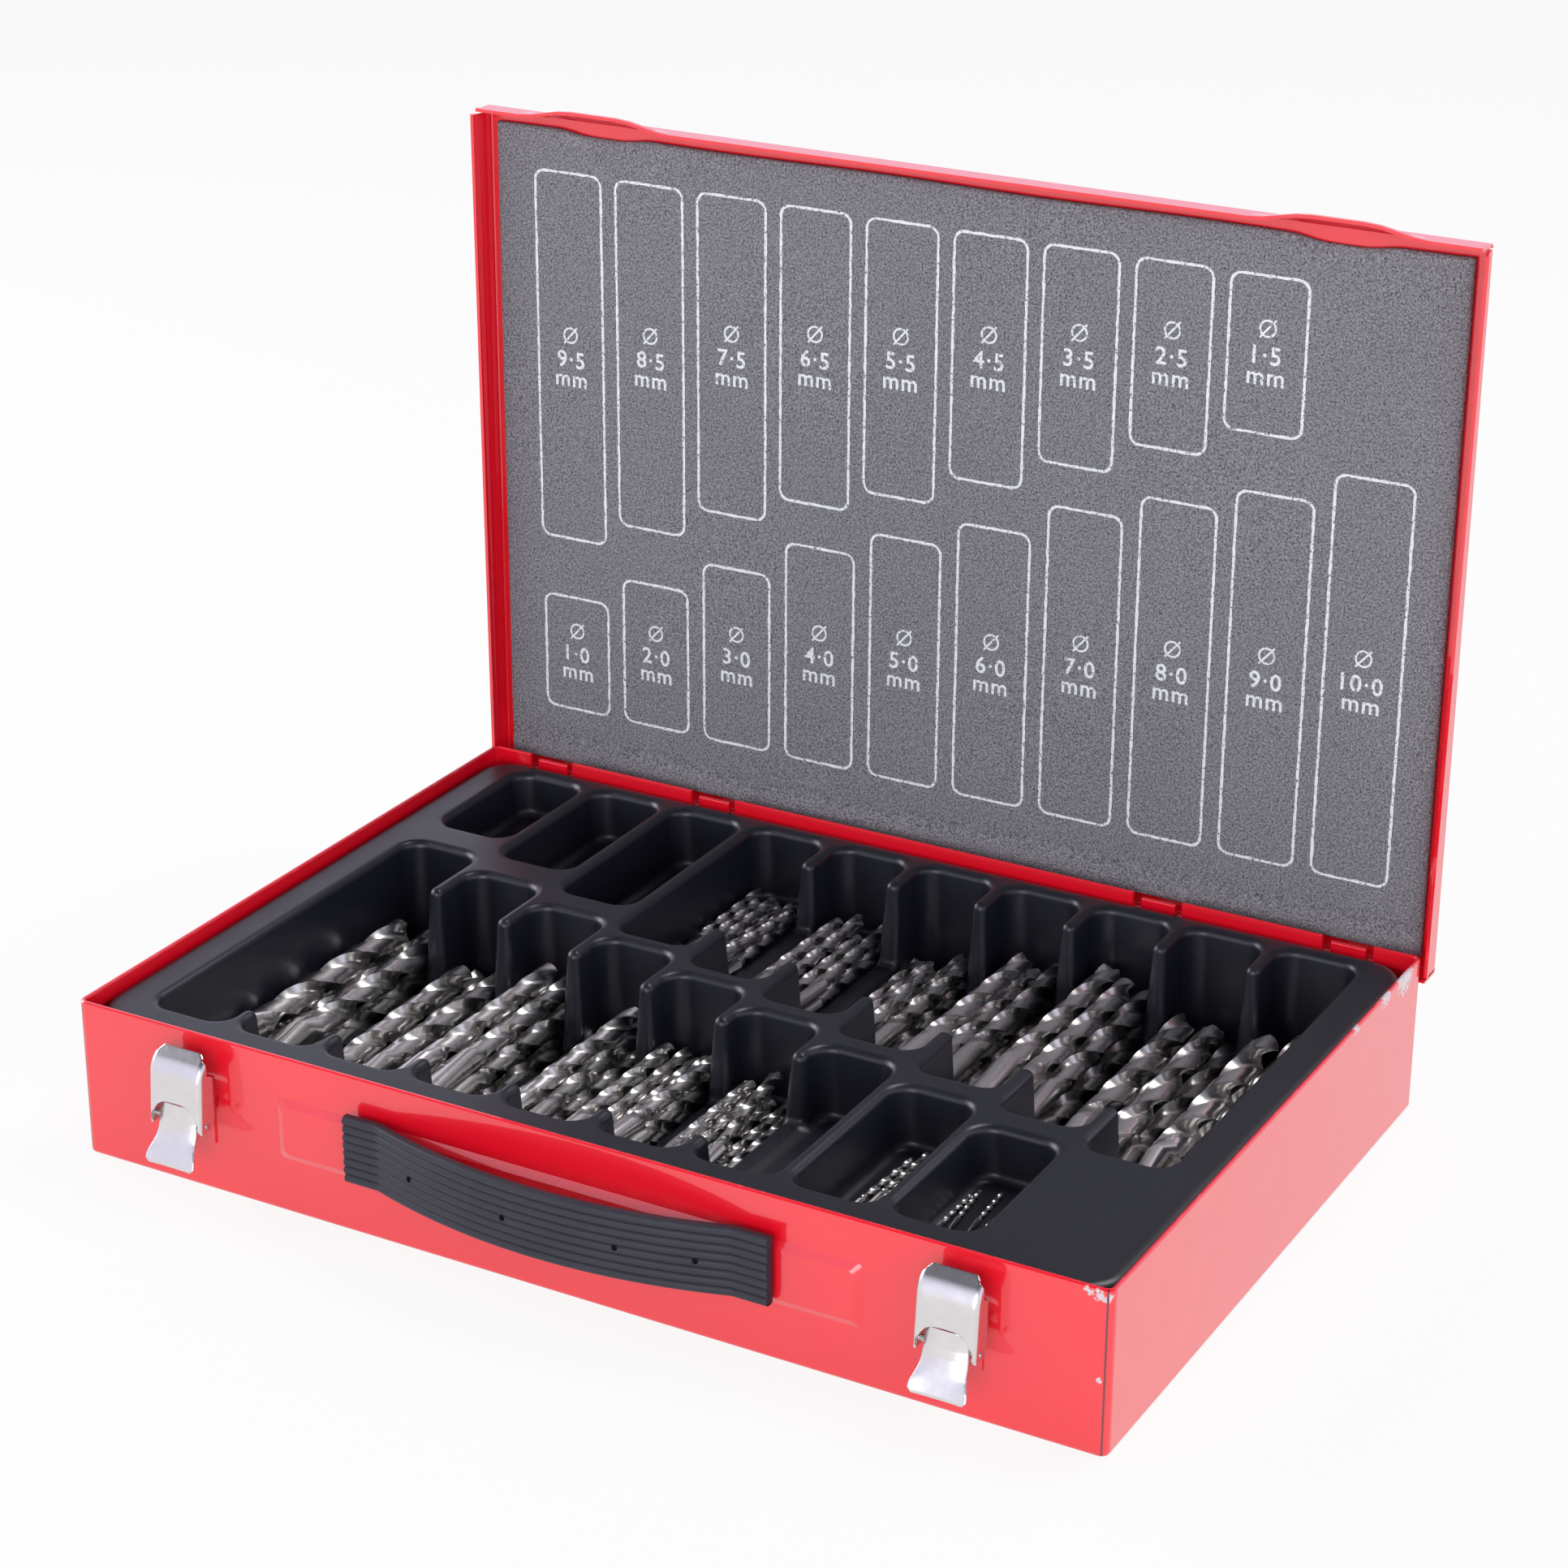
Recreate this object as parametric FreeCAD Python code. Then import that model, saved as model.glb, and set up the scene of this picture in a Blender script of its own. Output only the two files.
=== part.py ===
import FreeCAD, Part
import math
import os

# Drill bit case: a folded steel box with a hinged lid, a moulded tray of nineteen
# pockets, two over-centre latches and a bowed carrying handle.
# Millimetres; +X to the right, -Y to the front, +Z up; origin under the middle of the box.
V = FreeCAD.Vector
AXIS_X = V(1, 0, 0)
AXIS_Y = V(0, 1, 0)
AXIS_Z = V(0, 0, 1)

# Driving sizes of the case
WIDTH = 370.0
DEPTH = 248.0
BASE_HEIGHT = 56.0
SHEET = 0.8
LID_SHEET_GAP = 0.4
FLANGE_HEIGHT = 10.0
FLANGE_GAP = 0.6
BASE_CORNER_RADIUS = 3.0
BASE_FOOT_RADIUS = 1.5
HEM_DEPTH = 6.0
HEM_BEVEL = 0.5
HALF_W = WIDTH / 2
HALF_D = DEPTH / 2

# Handle: a grip over a steel strap whose flat ends are riveted to the raised panel
HANDLE_BOW_HALF = 64.0
HANDLE_FOOT = 7.0
HANDLE_RIVET_X = HANDLE_BOW_HALF + HANDLE_FOOT
STRAP_END = 3.0
GRIP_END = 5.5
HANDLE_HALF_LENGTH = HANDLE_RIVET_X + GRIP_END
HANDLE_HALF_HEIGHT = 11.6
HANDLE_CREST = 16.6
GRIP_THICKNESS = 3.4
STRAP_THICKNESS = 1.2
STRAP_HALF_HEIGHT = 8.0
RIDGES = 8
RIDGE_DEPTH = 0.6
RIDGE_GAP = 0.9
VENT_X = 25.0
HANDLE_HOLE_RADIUS = 1.3
BOW_POINTS = 9

# Raised panel behind the handle
PANEL_END = 29.0
PANEL_HALF_LENGTH = HANDLE_HALF_LENGTH + PANEL_END
PANEL_HALF_HEIGHT = 10.9
PANEL_HEIGHT = 1.5
PANEL_BORDER = 2.5
PANEL_CORNER = 5.0
PANEL_SHEET_INSET = 0.2
PANEL_DROP = 25.3
HANDLE_LIFT = 2.4
PANEL_MID_Z = BASE_HEIGHT - PANEL_DROP
HANDLE_MID_Z = PANEL_MID_Z + HANDLE_LIFT
HANDLE_END_FACE = PANEL_HEIGHT + STRAP_THICKNESS + GRIP_THICKNESS
BOW_RISE = HANDLE_CREST - HANDLE_END_FACE
BOW_RADIUS = (HANDLE_BOW_HALF ** 2 + BOW_RISE ** 2) / (2 * BOW_RISE)

# Hinge along the back
PIN_RADIUS = 1.25
PIN_CLEARANCE = 0.05
HINGE_DROP = 8.0
SIDE_GAP = 0.3
TAB_FROM_SIDE = 26.1
TAB_SPACING = 70.0
TAB_WIDTH = 12.5
TAB_RISE = 6.2
TAB_ROUNDING = 0.7
KNUCKLE_WIDTH = 2.4
NOTCH_CLEARANCE = 0.5
WIRE_OVERHANG = 3.0
EYE_INNER = PIN_RADIUS + PIN_CLEARANCE
EYE_OUTER = EYE_INNER + SHEET
CURL_TUCK = 0.03
HINGE_Y = HALF_D - SHEET + EYE_OUTER - CURL_TUCK
HINGE_Z = BASE_HEIGHT - HINGE_DROP
TAB_TOP = HINGE_Z + TAB_RISE
NOTCH_FLOOR = HINGE_Z - EYE_OUTER - NOTCH_CLEARANCE
NOTCH_WIDTH = TAB_WIDTH + 2 * KNUCKLE_WIDTH + 4 * SIDE_GAP
OUTER_TAB_X = HALF_W - TAB_FROM_SIDE
INNER_TAB_X = OUTER_TAB_X - TAB_SPACING
TAB_CENTRES = (-OUTER_TAB_X, -INNER_TAB_X, INNER_TAB_X, OUTER_TAB_X)
OPEN_ANGLE = 90.0

# Lid
LID_INNER_Z = BASE_HEIGHT + LID_SHEET_GAP
LID_TOP = LID_INNER_Z + SHEET
LID_EDGE_Z = LID_TOP - FLANGE_HEIGHT
LID_BEND = 1.6
LID_SIDE = HALF_W + FLANGE_GAP + SHEET
LID_FRONT = -(HALF_D + FLANGE_GAP + SHEET)
LID_REAR = HINGE_Y + EYE_OUTER + CURL_TUCK
CORNER_SLIT = 0.5
BEAD_HEIGHT = 1.4
BEAD_DEPTH = 0.4
SIDE_SPLAY = 1.6
KEEPER_FROM_SIDE = 47.0
KEEPER_X = HALF_W - KEEPER_FROM_SIDE
KEEPER_BULGE = 3.1
KEEPER_SHOULDER_DROP = 4.0
KEEPER_CREST_DROP = 7.4
KEEPER_SHOULDER_Z = LID_TOP - KEEPER_SHOULDER_DROP
KEEPER_CREST_Z = LID_TOP - KEEPER_CREST_DROP
KEEPER_HALF_FLAT = 9.0
KEEPER_RAMP = 22.0
KEEPER_RAMP_STEPS = 4

# Foam lining of the lid
FOAM_THICKNESS = 3.2
FOAM_INSET = 4.0
FOAM_REAR_GAP = 2.3
FOAM_REAR_BEVEL = 4.0
FOAM_REAR_EDGE = 0.2
FOAM_CORNER = 2.0

# Tray
TRAY_GAP = 0.6
TRAY_SETBACK = 3.5
TRAY_TOP = BASE_HEIGHT - TRAY_SETBACK
TRAY_WALL = 1.2
TRAY_CORNER = 14.0
TRAY_EDGE_RADIUS = 4.0
POCKET_SIDE_MARGIN = 32.0
DIVIDER = 5.0
POCKET_SIDE_DRAFT = 1.8
POCKET_END_DRAFT = 1.2
POCKET_CORNER = 6.0
POCKET_FLOOR_BEVEL = 1.0
RIM_FLARE = 1.0
RIM_FLARE_DEPTH = 1.4
FRONT_MARGIN = 16.0
BACK_MARGIN = 10.0
FINGER_STUB = 13.0
FINGER_FRONT_SETBACK = 21.5
FINGER_FRONT_SETBACK_STEP = 2.1
FINGER_FRONT_COUNT = 6
FINGER_BACK_STUB = 18.5
FINGER_BACK_SETBACK = 20.2
FINGER_BACK_FIRST = 3
FINGER_FLOOR_RISE = 1.5
FINGER_HALF_WIDTH = 4.9
FINGER_DRAFT = 2.0
FINGER_FOOT_RADIUS = 1.5
FINGER_TOP_LIFT = 5.0

# Bits and their pockets, left to right: diameter, overall length, flute length, how many lie
# in the pocket, spare length of the pocket and its depth below the top of the tray
FRONT_ROW = ((9.5, 125.0, 81.0, 5, 25.5, 43.0), (8.5, 117.0, 75.0, 5, 22.3, 43.0),
             (7.5, 109.0, 69.0, 10, 19.1, 43.0), (6.5, 101.0, 63.0, 10, 15.9, 43.0),
             (5.5, 93.0, 57.0, 10, 12.7, 35.5), (4.5, 80.0, 47.0, 10, 14.5, 31.5),
             (3.5, 70.0, 39.0, 0, 13.3, 25.5), (2.5, 57.0, 30.0, 4, 15.1, 21.5),
             (1.5, 40.0, 18.0, 5, 20.9, 18.0))
BACK_ROW = ((1.0, 34.0, 12.0, 0, 21.0, 16.5), (2.0, 49.0, 24.0, 4, 18.0, 19.5),
            (3.0, 61.0, 33.0, 0, 20.5, 22.5), (4.0, 75.0, 43.0, 10, 23.9, 27.5),
            (5.0, 86.0, 52.0, 10, 22.9, 32.5), (6.0, 93.0, 57.0, 10, 26.0, 43.0),
            (7.0, 109.0, 69.0, 10, 20.0, 43.0), (8.0, 117.0, 75.0, 10, 22.1, 43.0),
            (9.0, 125.0, 81.0, 5, 24.1, 43.0), (10.0, 133.0, 87.0, 5, 26.2, 43.0))
POCKET_PITCH = (WIDTH - 2 * POCKET_SIDE_MARGIN) / (len(BACK_ROW) - 1)
POCKET_RIM_WIDTH = POCKET_PITCH - DIVIDER
BIT_CLEARANCE = 0.04
BIT_WALL_GAP = 0.1
BIT_EDGE_ROOM = 1.5
BIT_END_ROOM = 5.0
BIT_WEB = 0.5
BIT_POINT = 0.3
BIT_SIDES = 6
BIT_TURN = 30.0
BIT_SLIDE = 0.618034

# Latch: sizes outward from the front wall, heights from the lever pivot
LATCH_DROP = 25.0
LATCH_Z = BASE_HEIGHT - LATCH_DROP
LATCH_SHEET = 0.8
HOOK_SHEET = 1.0
LEVER_PIVOT = (4.5, 0.0)
HOOK_PIVOT = (8.0, -2.5)
LATCH_PIN_RADIUS = 1.0
LATCH_PIN_CLEARANCE = 0.05
PIN_END = 0.3
PLATE_HALF_WIDTH = 7.0
PLATE_BOTTOM = -13.0
PLATE_TOP = 11.0
EAR_OUTER_X = 5.8
EAR_RADIUS = 2.2
LEVER_OUTER_X = 7.0
LEVER_FACE = ((10.6, 3.5), (10.7, -4.0), (12.0, -8.5), (13.4, -11.6), (15.0, -13.2), (15.9, -15.8))
LEVER_OUTLINE = ((4.8, 4.0), (7.0, 1.4), (7.0, -2.5), (5.8, -6.5), (6.2, -10.0), (9.0, -12.4),
                 (9.5, -14.0), (9.2, -16.0), (8.2, -16.4))
LEVER_CHEEK_RADIUS = 2.4
LEVER_CHEEK_TIP = (12.4, -9.6)
HOOK_HALF_WIDTH = 10.25
HOOK_FACE_Y = 12.0
HOOK_BEND_Z = 15.5
HOOK_LIP = (5.4, 22.1)
HOOK_CHEEK = ((12.0, -2.0), (12.0, 15.5), (6.9, 20.6), (6.9, 15.0), (4.2, 13.6), (4.2, -1.0),
              (5.8, -4.6), (10.6, -4.6))
HOOK_BEND_ANGLE = 45.0
HOOK_TOP_CHAMFER = 2.2
ARCH_HALF_WIDTH = 7.6
ARCH_SPRING_Z = 1.0
ARCH_TOP_Z = 4.7

# Rivets
RIVET_RADIUS = 1.2
RIVET_CLEARANCE = 0.05
RIVET_SIDES = 12
RIVET_HEAD_HEIGHT = 0.7
RIVET_HEAD_BEVEL = 0.8
LATCH_RIVET_HEAD = 2.0
LATCH_RIVET_Z = (-10.0, 8.0)
HANDLE_RIVET_HEAD = 2.6


def save(name, shape):
    """Write one named piece of the case."""
    shape.exportStep("parts/" + name + ".step")


def solid_of(shape):
    """The single solid inside a boolean result."""
    return shape.Solids[0] if len(shape.Solids) == 1 else Part.makeCompound(shape.Solids)


def rounded_wire(x0, x1, y0, y1, radius, z):
    """A rectangle with rounded corners, flat at height z."""
    corners = ((x1 - radius, y0 + radius, -90), (x1 - radius, y1 - radius, 0),
               (x0 + radius, y1 - radius, 90), (x0 + radius, y0 + radius, 180))
    edges = []
    starts = []
    for cx, cy, angle in corners:
        points = [V(cx + radius * math.cos(math.radians(angle + turn)),
                    cy + radius * math.sin(math.radians(angle + turn)), z) for turn in (0, 45, 90)]
        starts.append(points)
    for index, points in enumerate(starts):
        edges.append(Part.Arc(*points).toShape())
        following = starts[(index + 1) % len(starts)]
        edges.append(Part.LineSegment(points[2], following[0]).toShape())
    return Part.Wire(edges)


def rounded_prism(x0, x1, y0, y1, radius, z0, z1):
    """An upright block with rounded plan corners."""
    return Part.Face(rounded_wire(x0, x1, y0, y1, radius, z0)).extrude(V(0, 0, z1 - z0))


def wedge(x0, x1, y0, y1, z0, z1, inset_x, inset_y):
    """A block whose sides slope in by the insets from top to bottom."""
    block = Part.makeWedge(x0 + inset_x, z0, y0 + inset_y, y0, x0, x1 - inset_x, z1, y1 - inset_y, y1, x1)
    block.rotate(V(0, 0, 0), AXIS_X, 90)
    return block.mirror(V(0, 0, 0), AXIS_Y)


def tapered_block(x0, x1, y0, y1, z0, z1, inset_x, inset_y, radius):
    """A block whose sides slope in by the insets from top to bottom, with rounded corners."""
    block = wedge(x0, x1, y0, y1, z0, z1, inset_x, inset_y)
    slanted = [e for e in block.Edges if e.BoundBox.ZLength > (z1 - z0) / 2]
    return block.makeFillet(radius, slanted)


def level_edges(shape, z):
    """The edges of a shape that lie flat at height z."""
    return [e for e in shape.Edges if abs(e.BoundBox.ZMin - z) < 1e-4 and abs(e.BoundBox.ZMax - z) < 1e-4]


def box(x0, x1, y0, y1, z0, z1):
    """A plain block from its two corners, used to cut or to join."""
    return Part.makeBox(x1 - x0, y1 - y0, z1 - z0, V(x0, y0, z0))


def polygon_face(points):
    """A flat face from a closed run of corners."""
    return Part.Face(Part.makePolygon(list(points) + [points[0]]))


def flat_sided(sections):
    """A solid through a run of sections, each a closed run of points, skinned with flat facets."""
    faces = [polygon_face(sections[0]), polygon_face(sections[-1])]
    for first, second in zip(sections, sections[1:]):
        for index in range(len(first)):
            following = (index + 1) % len(first)
            corners = (first[index], first[following], second[following], second[index])
            faces.append(polygon_face(corners[:3]))
            faces.append(polygon_face((corners[0], corners[2], corners[3])))
    return Part.makeSolid(Part.makeShell(faces)).removeSplitter()


def rod(start, direction, radius, length):
    """A round bar."""
    return Part.makeCylinder(radius, length, start, direction)


def facing_front(shape):
    """Turn a shape drawn flat so that its plan stands on the front wall: (x, y, z) to (x, -z, y)."""
    turned = shape.copy()
    turned.rotate(V(0, 0, 0), AXIS_X, 90)
    return turned


def side_plate(profile, x0, x1, wall_y=-HALF_D):
    """A plate across X from (outward, height) corners measured from the front wall."""
    face = polygon_face([V(x0, wall_y - out, z) for out, z in profile])
    return face.extrude(V(x1 - x0, 0, 0))


# ---------------------------------------------------------------- base box
def panel_block(inset, depth_from, depth_to):
    """The raised panel as a block with sloping borders."""
    half_length = PANEL_HALF_LENGTH - inset
    half_height = PANEL_HALF_HEIGHT - inset
    block = tapered_block(-half_length, half_length, -PANEL_MID_Z - half_height, half_height - PANEL_MID_Z,
                          -depth_to, -depth_from, PANEL_BORDER, PANEL_BORDER, PANEL_CORNER)
    block.rotate(V(0, 0, 0), AXIS_X, -90)
    return block


def hinge_tab(centre):
    """The strip left standing in a notch, turned down and curled round the pin."""
    x0 = centre - TAB_WIDTH / 2
    x1 = centre + TAB_WIDTH / 2
    strip = box(x0, x1, HALF_D - SHEET, HALF_D + SHEET, HINGE_Z + EYE_OUTER / 2, TAB_TOP)
    strip = strip.makeFillet(TAB_ROUNDING, [e for e in level_edges(strip, TAB_TOP)
                                            if e.BoundBox.XLength > TAB_WIDTH / 2])
    leaf = box(x0, x1, HALF_D - SHEET, HALF_D, NOTCH_FLOOR - SHEET, HINGE_Z + EYE_OUTER)
    eye = rod(V(x0, HINGE_Y, HINGE_Z), AXIS_X, EYE_OUTER, TAB_WIDTH)
    bore = rod(V(x0, HINGE_Y, HINGE_Z), AXIS_X, EYE_INNER, TAB_WIDTH)
    return strip.fuse([leaf, eye]).cut(bore)


def stud(x, z, y0, y1, radius, end_radius):
    """A bar along Y from y0 to y1, tapering from one radius to the other, with few sides."""
    rings = []
    for y, reach in ((y0, radius), (y1, end_radius)):
        angles = [2 * math.pi * side / RIVET_SIDES for side in range(RIVET_SIDES)]
        rings.append([V(x + reach * math.cos(a), y, z + reach * math.sin(a)) for a in angles])
    if radius == end_radius:
        return polygon_face(rings[0]).extrude(V(0, y1 - y0, 0))
    return flat_sided(rings)


def rivet_hole(x, z, y0, y1):
    """The hole that a rivet passes through."""
    reach = RIVET_RADIUS + RIVET_CLEARANCE
    return stud(x, z, y0, y1, reach, reach)


def handle_rivet_holes():
    """Holes for the handle's rivets, right through the strap, the panel and the wall."""
    return [rivet_hole(x, HANDLE_MID_Z, -HALF_D - HANDLE_CREST, -HALF_D + 2 * SHEET)
            for x in (-HANDLE_RIVET_X, HANDLE_RIVET_X)]


def latch_rivet_holes(x, base_z):
    """Holes for one latch's rivets, right through its plate and the wall."""
    return [rivet_hole(x, base_z + z, -HALF_D - 2 * LATCH_SHEET, -HALF_D + 2 * SHEET)
            for z in LATCH_RIVET_Z]


def rivet(x, z, wall_out, wall_in, head_radius):
    """A rivet through the wall from wall_out to wall_in, headed on both sides."""
    crown = head_radius - RIVET_HEAD_BEVEL
    shank = stud(x, z, wall_out, wall_in, RIVET_RADIUS, RIVET_RADIUS)
    outside = stud(x, z, wall_out, wall_out - RIVET_HEAD_HEIGHT, head_radius, crown)
    inside = stud(x, z, wall_in, wall_in + RIVET_HEAD_HEIGHT, head_radius, crown)
    return solid_of(shank.fuse([outside, inside]))


def base_shell():
    """Folded steel box: bottom and walls, hemmed rim, raised panel, hinge notches and tabs."""
    outer = rounded_prism(-HALF_W, HALF_W, -HALF_D, HALF_D, BASE_CORNER_RADIUS, 0, BASE_HEIGHT)
    outer = outer.makeFillet(BASE_FOOT_RADIUS, level_edges(outer, 0))
    inner = rounded_prism(-HALF_W + SHEET, HALF_W - SHEET, -HALF_D + SHEET, HALF_D - SHEET,
                          BASE_CORNER_RADIUS - SHEET, SHEET, BASE_HEIGHT - HEM_DEPTH)
    mouth = rounded_prism(-HALF_W + 2 * SHEET, HALF_W - 2 * SHEET, -HALF_D + 2 * SHEET,
                          HALF_D - 2 * SHEET, BASE_CORNER_RADIUS - 2 * SHEET,
                          BASE_HEIGHT - HEM_DEPTH - SHEET, BASE_HEIGHT)
    shell = outer.cut(inner.fuse(mouth))
    shell = shell.makeChamfer(HEM_BEVEL, level_edges(shell, BASE_HEIGHT))
    shell = shell.fuse(panel_block(0, HALF_D, HALF_D + PANEL_HEIGHT))
    shell = shell.cut(panel_block(PANEL_SHEET_INSET, HALF_D - SHEET, HALF_D + PANEL_HEIGHT - SHEET))
    notches = [box(c - NOTCH_WIDTH / 2, c + NOTCH_WIDTH / 2, HALF_D - 3 * SHEET, HALF_D + SHEET,
                   NOTCH_FLOOR, BASE_HEIGHT + SHEET) for c in TAB_CENTRES]
    shell = shell.cut(notches)
    shell = shell.fuse([hinge_tab(c) for c in TAB_CENTRES])
    holes = handle_rivet_holes()
    for x in (-KEEPER_X, KEEPER_X):
        holes += latch_rivet_holes(x, LATCH_Z)
    return solid_of(shell.cut(holes).removeSplitter())


# ---------------------------------------------------------------- lid, drawn shut and swung open
def swing_open(shape):
    """Swing a piece of the shut lid up to where it stands."""
    opened = shape.copy()
    opened.rotate(V(0, HINGE_Y, HINGE_Z), AXIS_X, -OPEN_ANGLE)
    return opened


def apron_profile(splay, bulge):
    """Corners of the lower part of a flange: (outward from its bend, height), outside first."""
    out = LID_BEND + splay + bulge
    return [(LID_BEND, KEEPER_SHOULDER_Z), (LID_BEND + splay / 2 + bulge, KEEPER_CREST_Z),
            (out, LID_EDGE_Z + BEAD_HEIGHT + BEAD_DEPTH), (out + BEAD_DEPTH, LID_EDGE_Z + BEAD_HEIGHT),
            (out + BEAD_DEPTH, LID_EDGE_Z), (out - SHEET, LID_EDGE_Z),
            (LID_BEND + splay / 2 + bulge - SHEET, KEEPER_CREST_Z),
            (LID_BEND - SHEET, KEEPER_SHOULDER_Z)]


def bent_edge(x0, x1):
    """A quarter-round bend and the upright strip under it, along X, with the bend starting at Y = 0."""
    round_bar = rod(V(x0, 0, LID_TOP - LID_BEND), AXIS_X, LID_BEND, x1 - x0)
    hollow = rod(V(x0, 0, LID_TOP - LID_BEND), AXIS_X, LID_BEND - SHEET, x1 - x0)
    quarter = box(x0, x1, 0, LID_BEND, LID_TOP - LID_BEND, LID_TOP)
    strip = box(x0, x1, LID_BEND - SHEET, LID_BEND, KEEPER_SHOULDER_Z, LID_TOP - LID_BEND)
    return round_bar.cut(hollow).common(quarter).fuse(strip)


def keeper_stations():
    """Where the front flange is drawn, and how far it is pressed out there."""
    stations = [(-LID_SIDE + SIDE_GAP, 0.0)]
    for side in (-1, 1):
        ramp = []
        for step in range(KEEPER_RAMP_STEPS + 1):
            share = step / KEEPER_RAMP_STEPS
            bulge = KEEPER_BULGE * (1 - math.cos(math.pi * share)) / 2
            ramp.append((KEEPER_HALF_FLAT + KEEPER_RAMP * (1 - share), bulge))
        stations += [(side * KEEPER_X - x, bulge) for x, bulge in ramp]
        stations += [(side * KEEPER_X + x, bulge) for x, bulge in reversed(ramp)]
    stations.append((LID_SIDE - SIDE_GAP, 0.0))
    return stations


def lid_knuckle(x0):
    """A narrow strip of the rear flange curled round the pin."""
    eye = rod(V(x0, HINGE_Y, HINGE_Z), AXIS_X, EYE_OUTER, KNUCKLE_WIDTH)
    return eye.cut(rod(V(x0, HINGE_Y, HINGE_Z), AXIS_X, EYE_INNER, KNUCKLE_WIDTH))


def side_flange(side):
    """Left or right flange, leaning out towards its front end."""
    front_y = LID_FRONT + LID_BEND + CORNER_SLIT
    rear_y = LID_REAR - LID_BEND - CORNER_SLIT
    side_x = LID_SIDE - LID_BEND
    upper = bent_edge(front_y, rear_y)
    upper.rotate(V(0, 0, 0), AXIS_Z, -90)
    upper = upper.mirror(V(0, 0, 0), AXIS_Y)
    if side < 0:
        upper = upper.mirror(V(0, 0, 0), AXIS_X)
    upper.translate(V(side * side_x, 0, 0))
    sections = [[V(side * (side_x + out), y, z) for out, z in apron_profile(splay, 0.0)]
                for y, splay in ((front_y, SIDE_SPLAY), (rear_y, 0.0))]
    return upper.fuse(flat_sided(sections))


def front_flange():
    """Front flange, its lower part pressed out into two keepers."""
    reach = LID_SIDE - SIDE_GAP
    front_y = LID_FRONT + LID_BEND
    upper = bent_edge(-reach, reach).mirror(V(0, 0, 0), AXIS_Y)
    upper.translate(V(0, front_y, 0))
    sections = [[V(x, front_y - out, z) for out, z in apron_profile(0.0, bulge)]
                for x, bulge in keeper_stations()]
    return upper.fuse(flat_sided(sections))


def lid_shell():
    """Folded steel lid: plate, four flanges with beaded edges, two keepers, eight knuckles."""
    front_y = LID_FRONT + LID_BEND
    rear_y = LID_REAR - LID_BEND
    side_x = LID_SIDE - LID_BEND
    rear_x = LID_SIDE - SIDE_GAP
    rear = bent_edge(-rear_x, rear_x)
    rear.translate(V(0, rear_y, 0))
    pieces = [box(-side_x, side_x, front_y, rear_y, LID_INNER_Z, LID_TOP), front_flange(), side_flange(-1),
              side_flange(1), rear]
    pieces.append(box(-rear_x, rear_x, LID_REAR - SHEET, LID_REAR, LID_EDGE_Z, KEEPER_SHOULDER_Z))
    lid = pieces[0].fuse(pieces[1:])
    reach = TAB_WIDTH / 2 + SIDE_GAP
    windows = [box(c - reach, c + reach, LID_REAR - 2 * SHEET, LID_REAR + SHEET, LID_EDGE_Z - SHEET,
                   HINGE_Z + EYE_OUTER + 2 * SIDE_GAP) for c in TAB_CENTRES]
    lid = lid.cut(windows)
    knuckles = []
    for centre in TAB_CENTRES:
        knuckles.append(lid_knuckle(centre - reach - KNUCKLE_WIDTH))
        knuckles.append(lid_knuckle(centre + reach))
    return swing_open(solid_of(lid.fuse(knuckles)))


def lid_foam():
    """Sheet of foam glued inside the lid, bevelled where it passes the rear rim."""
    half_x = HALF_W + FLANGE_GAP - FOAM_INSET
    front_y = -(HALF_D + FLANGE_GAP) + FOAM_INSET
    low = LID_INNER_Z - FOAM_THICKNESS
    rear_y = HALF_D - FOAM_REAR_GAP
    sheet = rounded_prism(-half_x, half_x, front_y, rear_y, FOAM_CORNER, low, LID_INNER_Z)
    bevel = [V(-HALF_W, rear_y - FOAM_REAR_BEVEL, low), V(-HALF_W, rear_y, LID_INNER_Z - FOAM_REAR_EDGE),
             V(-HALF_W, rear_y, low)]
    return swing_open(sheet.cut(polygon_face(bevel).extrude(V(WIDTH, 0, 0))))


def hinge_wire():
    """One long wire through every tab and knuckle."""
    reach = TAB_CENTRES[-1] + NOTCH_WIDTH / 2 + WIRE_OVERHANG
    return rod(V(-reach, HINGE_Y, HINGE_Z), AXIS_X, PIN_RADIUS, 2 * reach)


# ---------------------------------------------------------------- tray
def row_pockets(row, front_y, back_y):
    """Pockets of one row, standing on its front line or its back line: middle in X, ends in Y, floor."""
    found = []
    for index, (_, overall, _, _, spare, depth) in enumerate(row):
        x = POCKET_PITCH * index - HALF_W + POCKET_SIDE_MARGIN
        length = overall + spare
        start = front_y if front_y is not None else back_y - length
        found.append((x, start, start + length, TRAY_TOP - depth))
    return found


def front_pockets():
    """The row whose near ends line up along the front."""
    return row_pockets(FRONT_ROW, FRONT_MARGIN - HALF_D, None)


def back_pockets():
    """The row whose far ends line up along the back."""
    return row_pockets(BACK_ROW, None, HALF_D - BACK_MARGIN)


def pocket_solid(x, y0, y1, floor, top):
    """The tapering space of a pocket with rounded corners and a bevelled foot."""
    rim = POCKET_RIM_WIDTH / 2
    hollow = tapered_block(x - rim, x + rim, y0, y1, floor, top, POCKET_SIDE_DRAFT, POCKET_END_DRAFT,
                           POCKET_CORNER)
    return hollow.makeChamfer(POCKET_FLOOR_BEVEL, level_edges(hollow, floor))


def pan_solid(x, y0, y1, floor, top):
    """The tapering block that leaves a wall all round a pocket."""
    rim = POCKET_RIM_WIDTH / 2 + TRAY_WALL
    return wedge(x - rim, x + rim, y0 - TRAY_WALL, y1 + TRAY_WALL, floor - TRAY_WALL, top,
                 POCKET_SIDE_DRAFT, POCKET_END_DRAFT)


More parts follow.
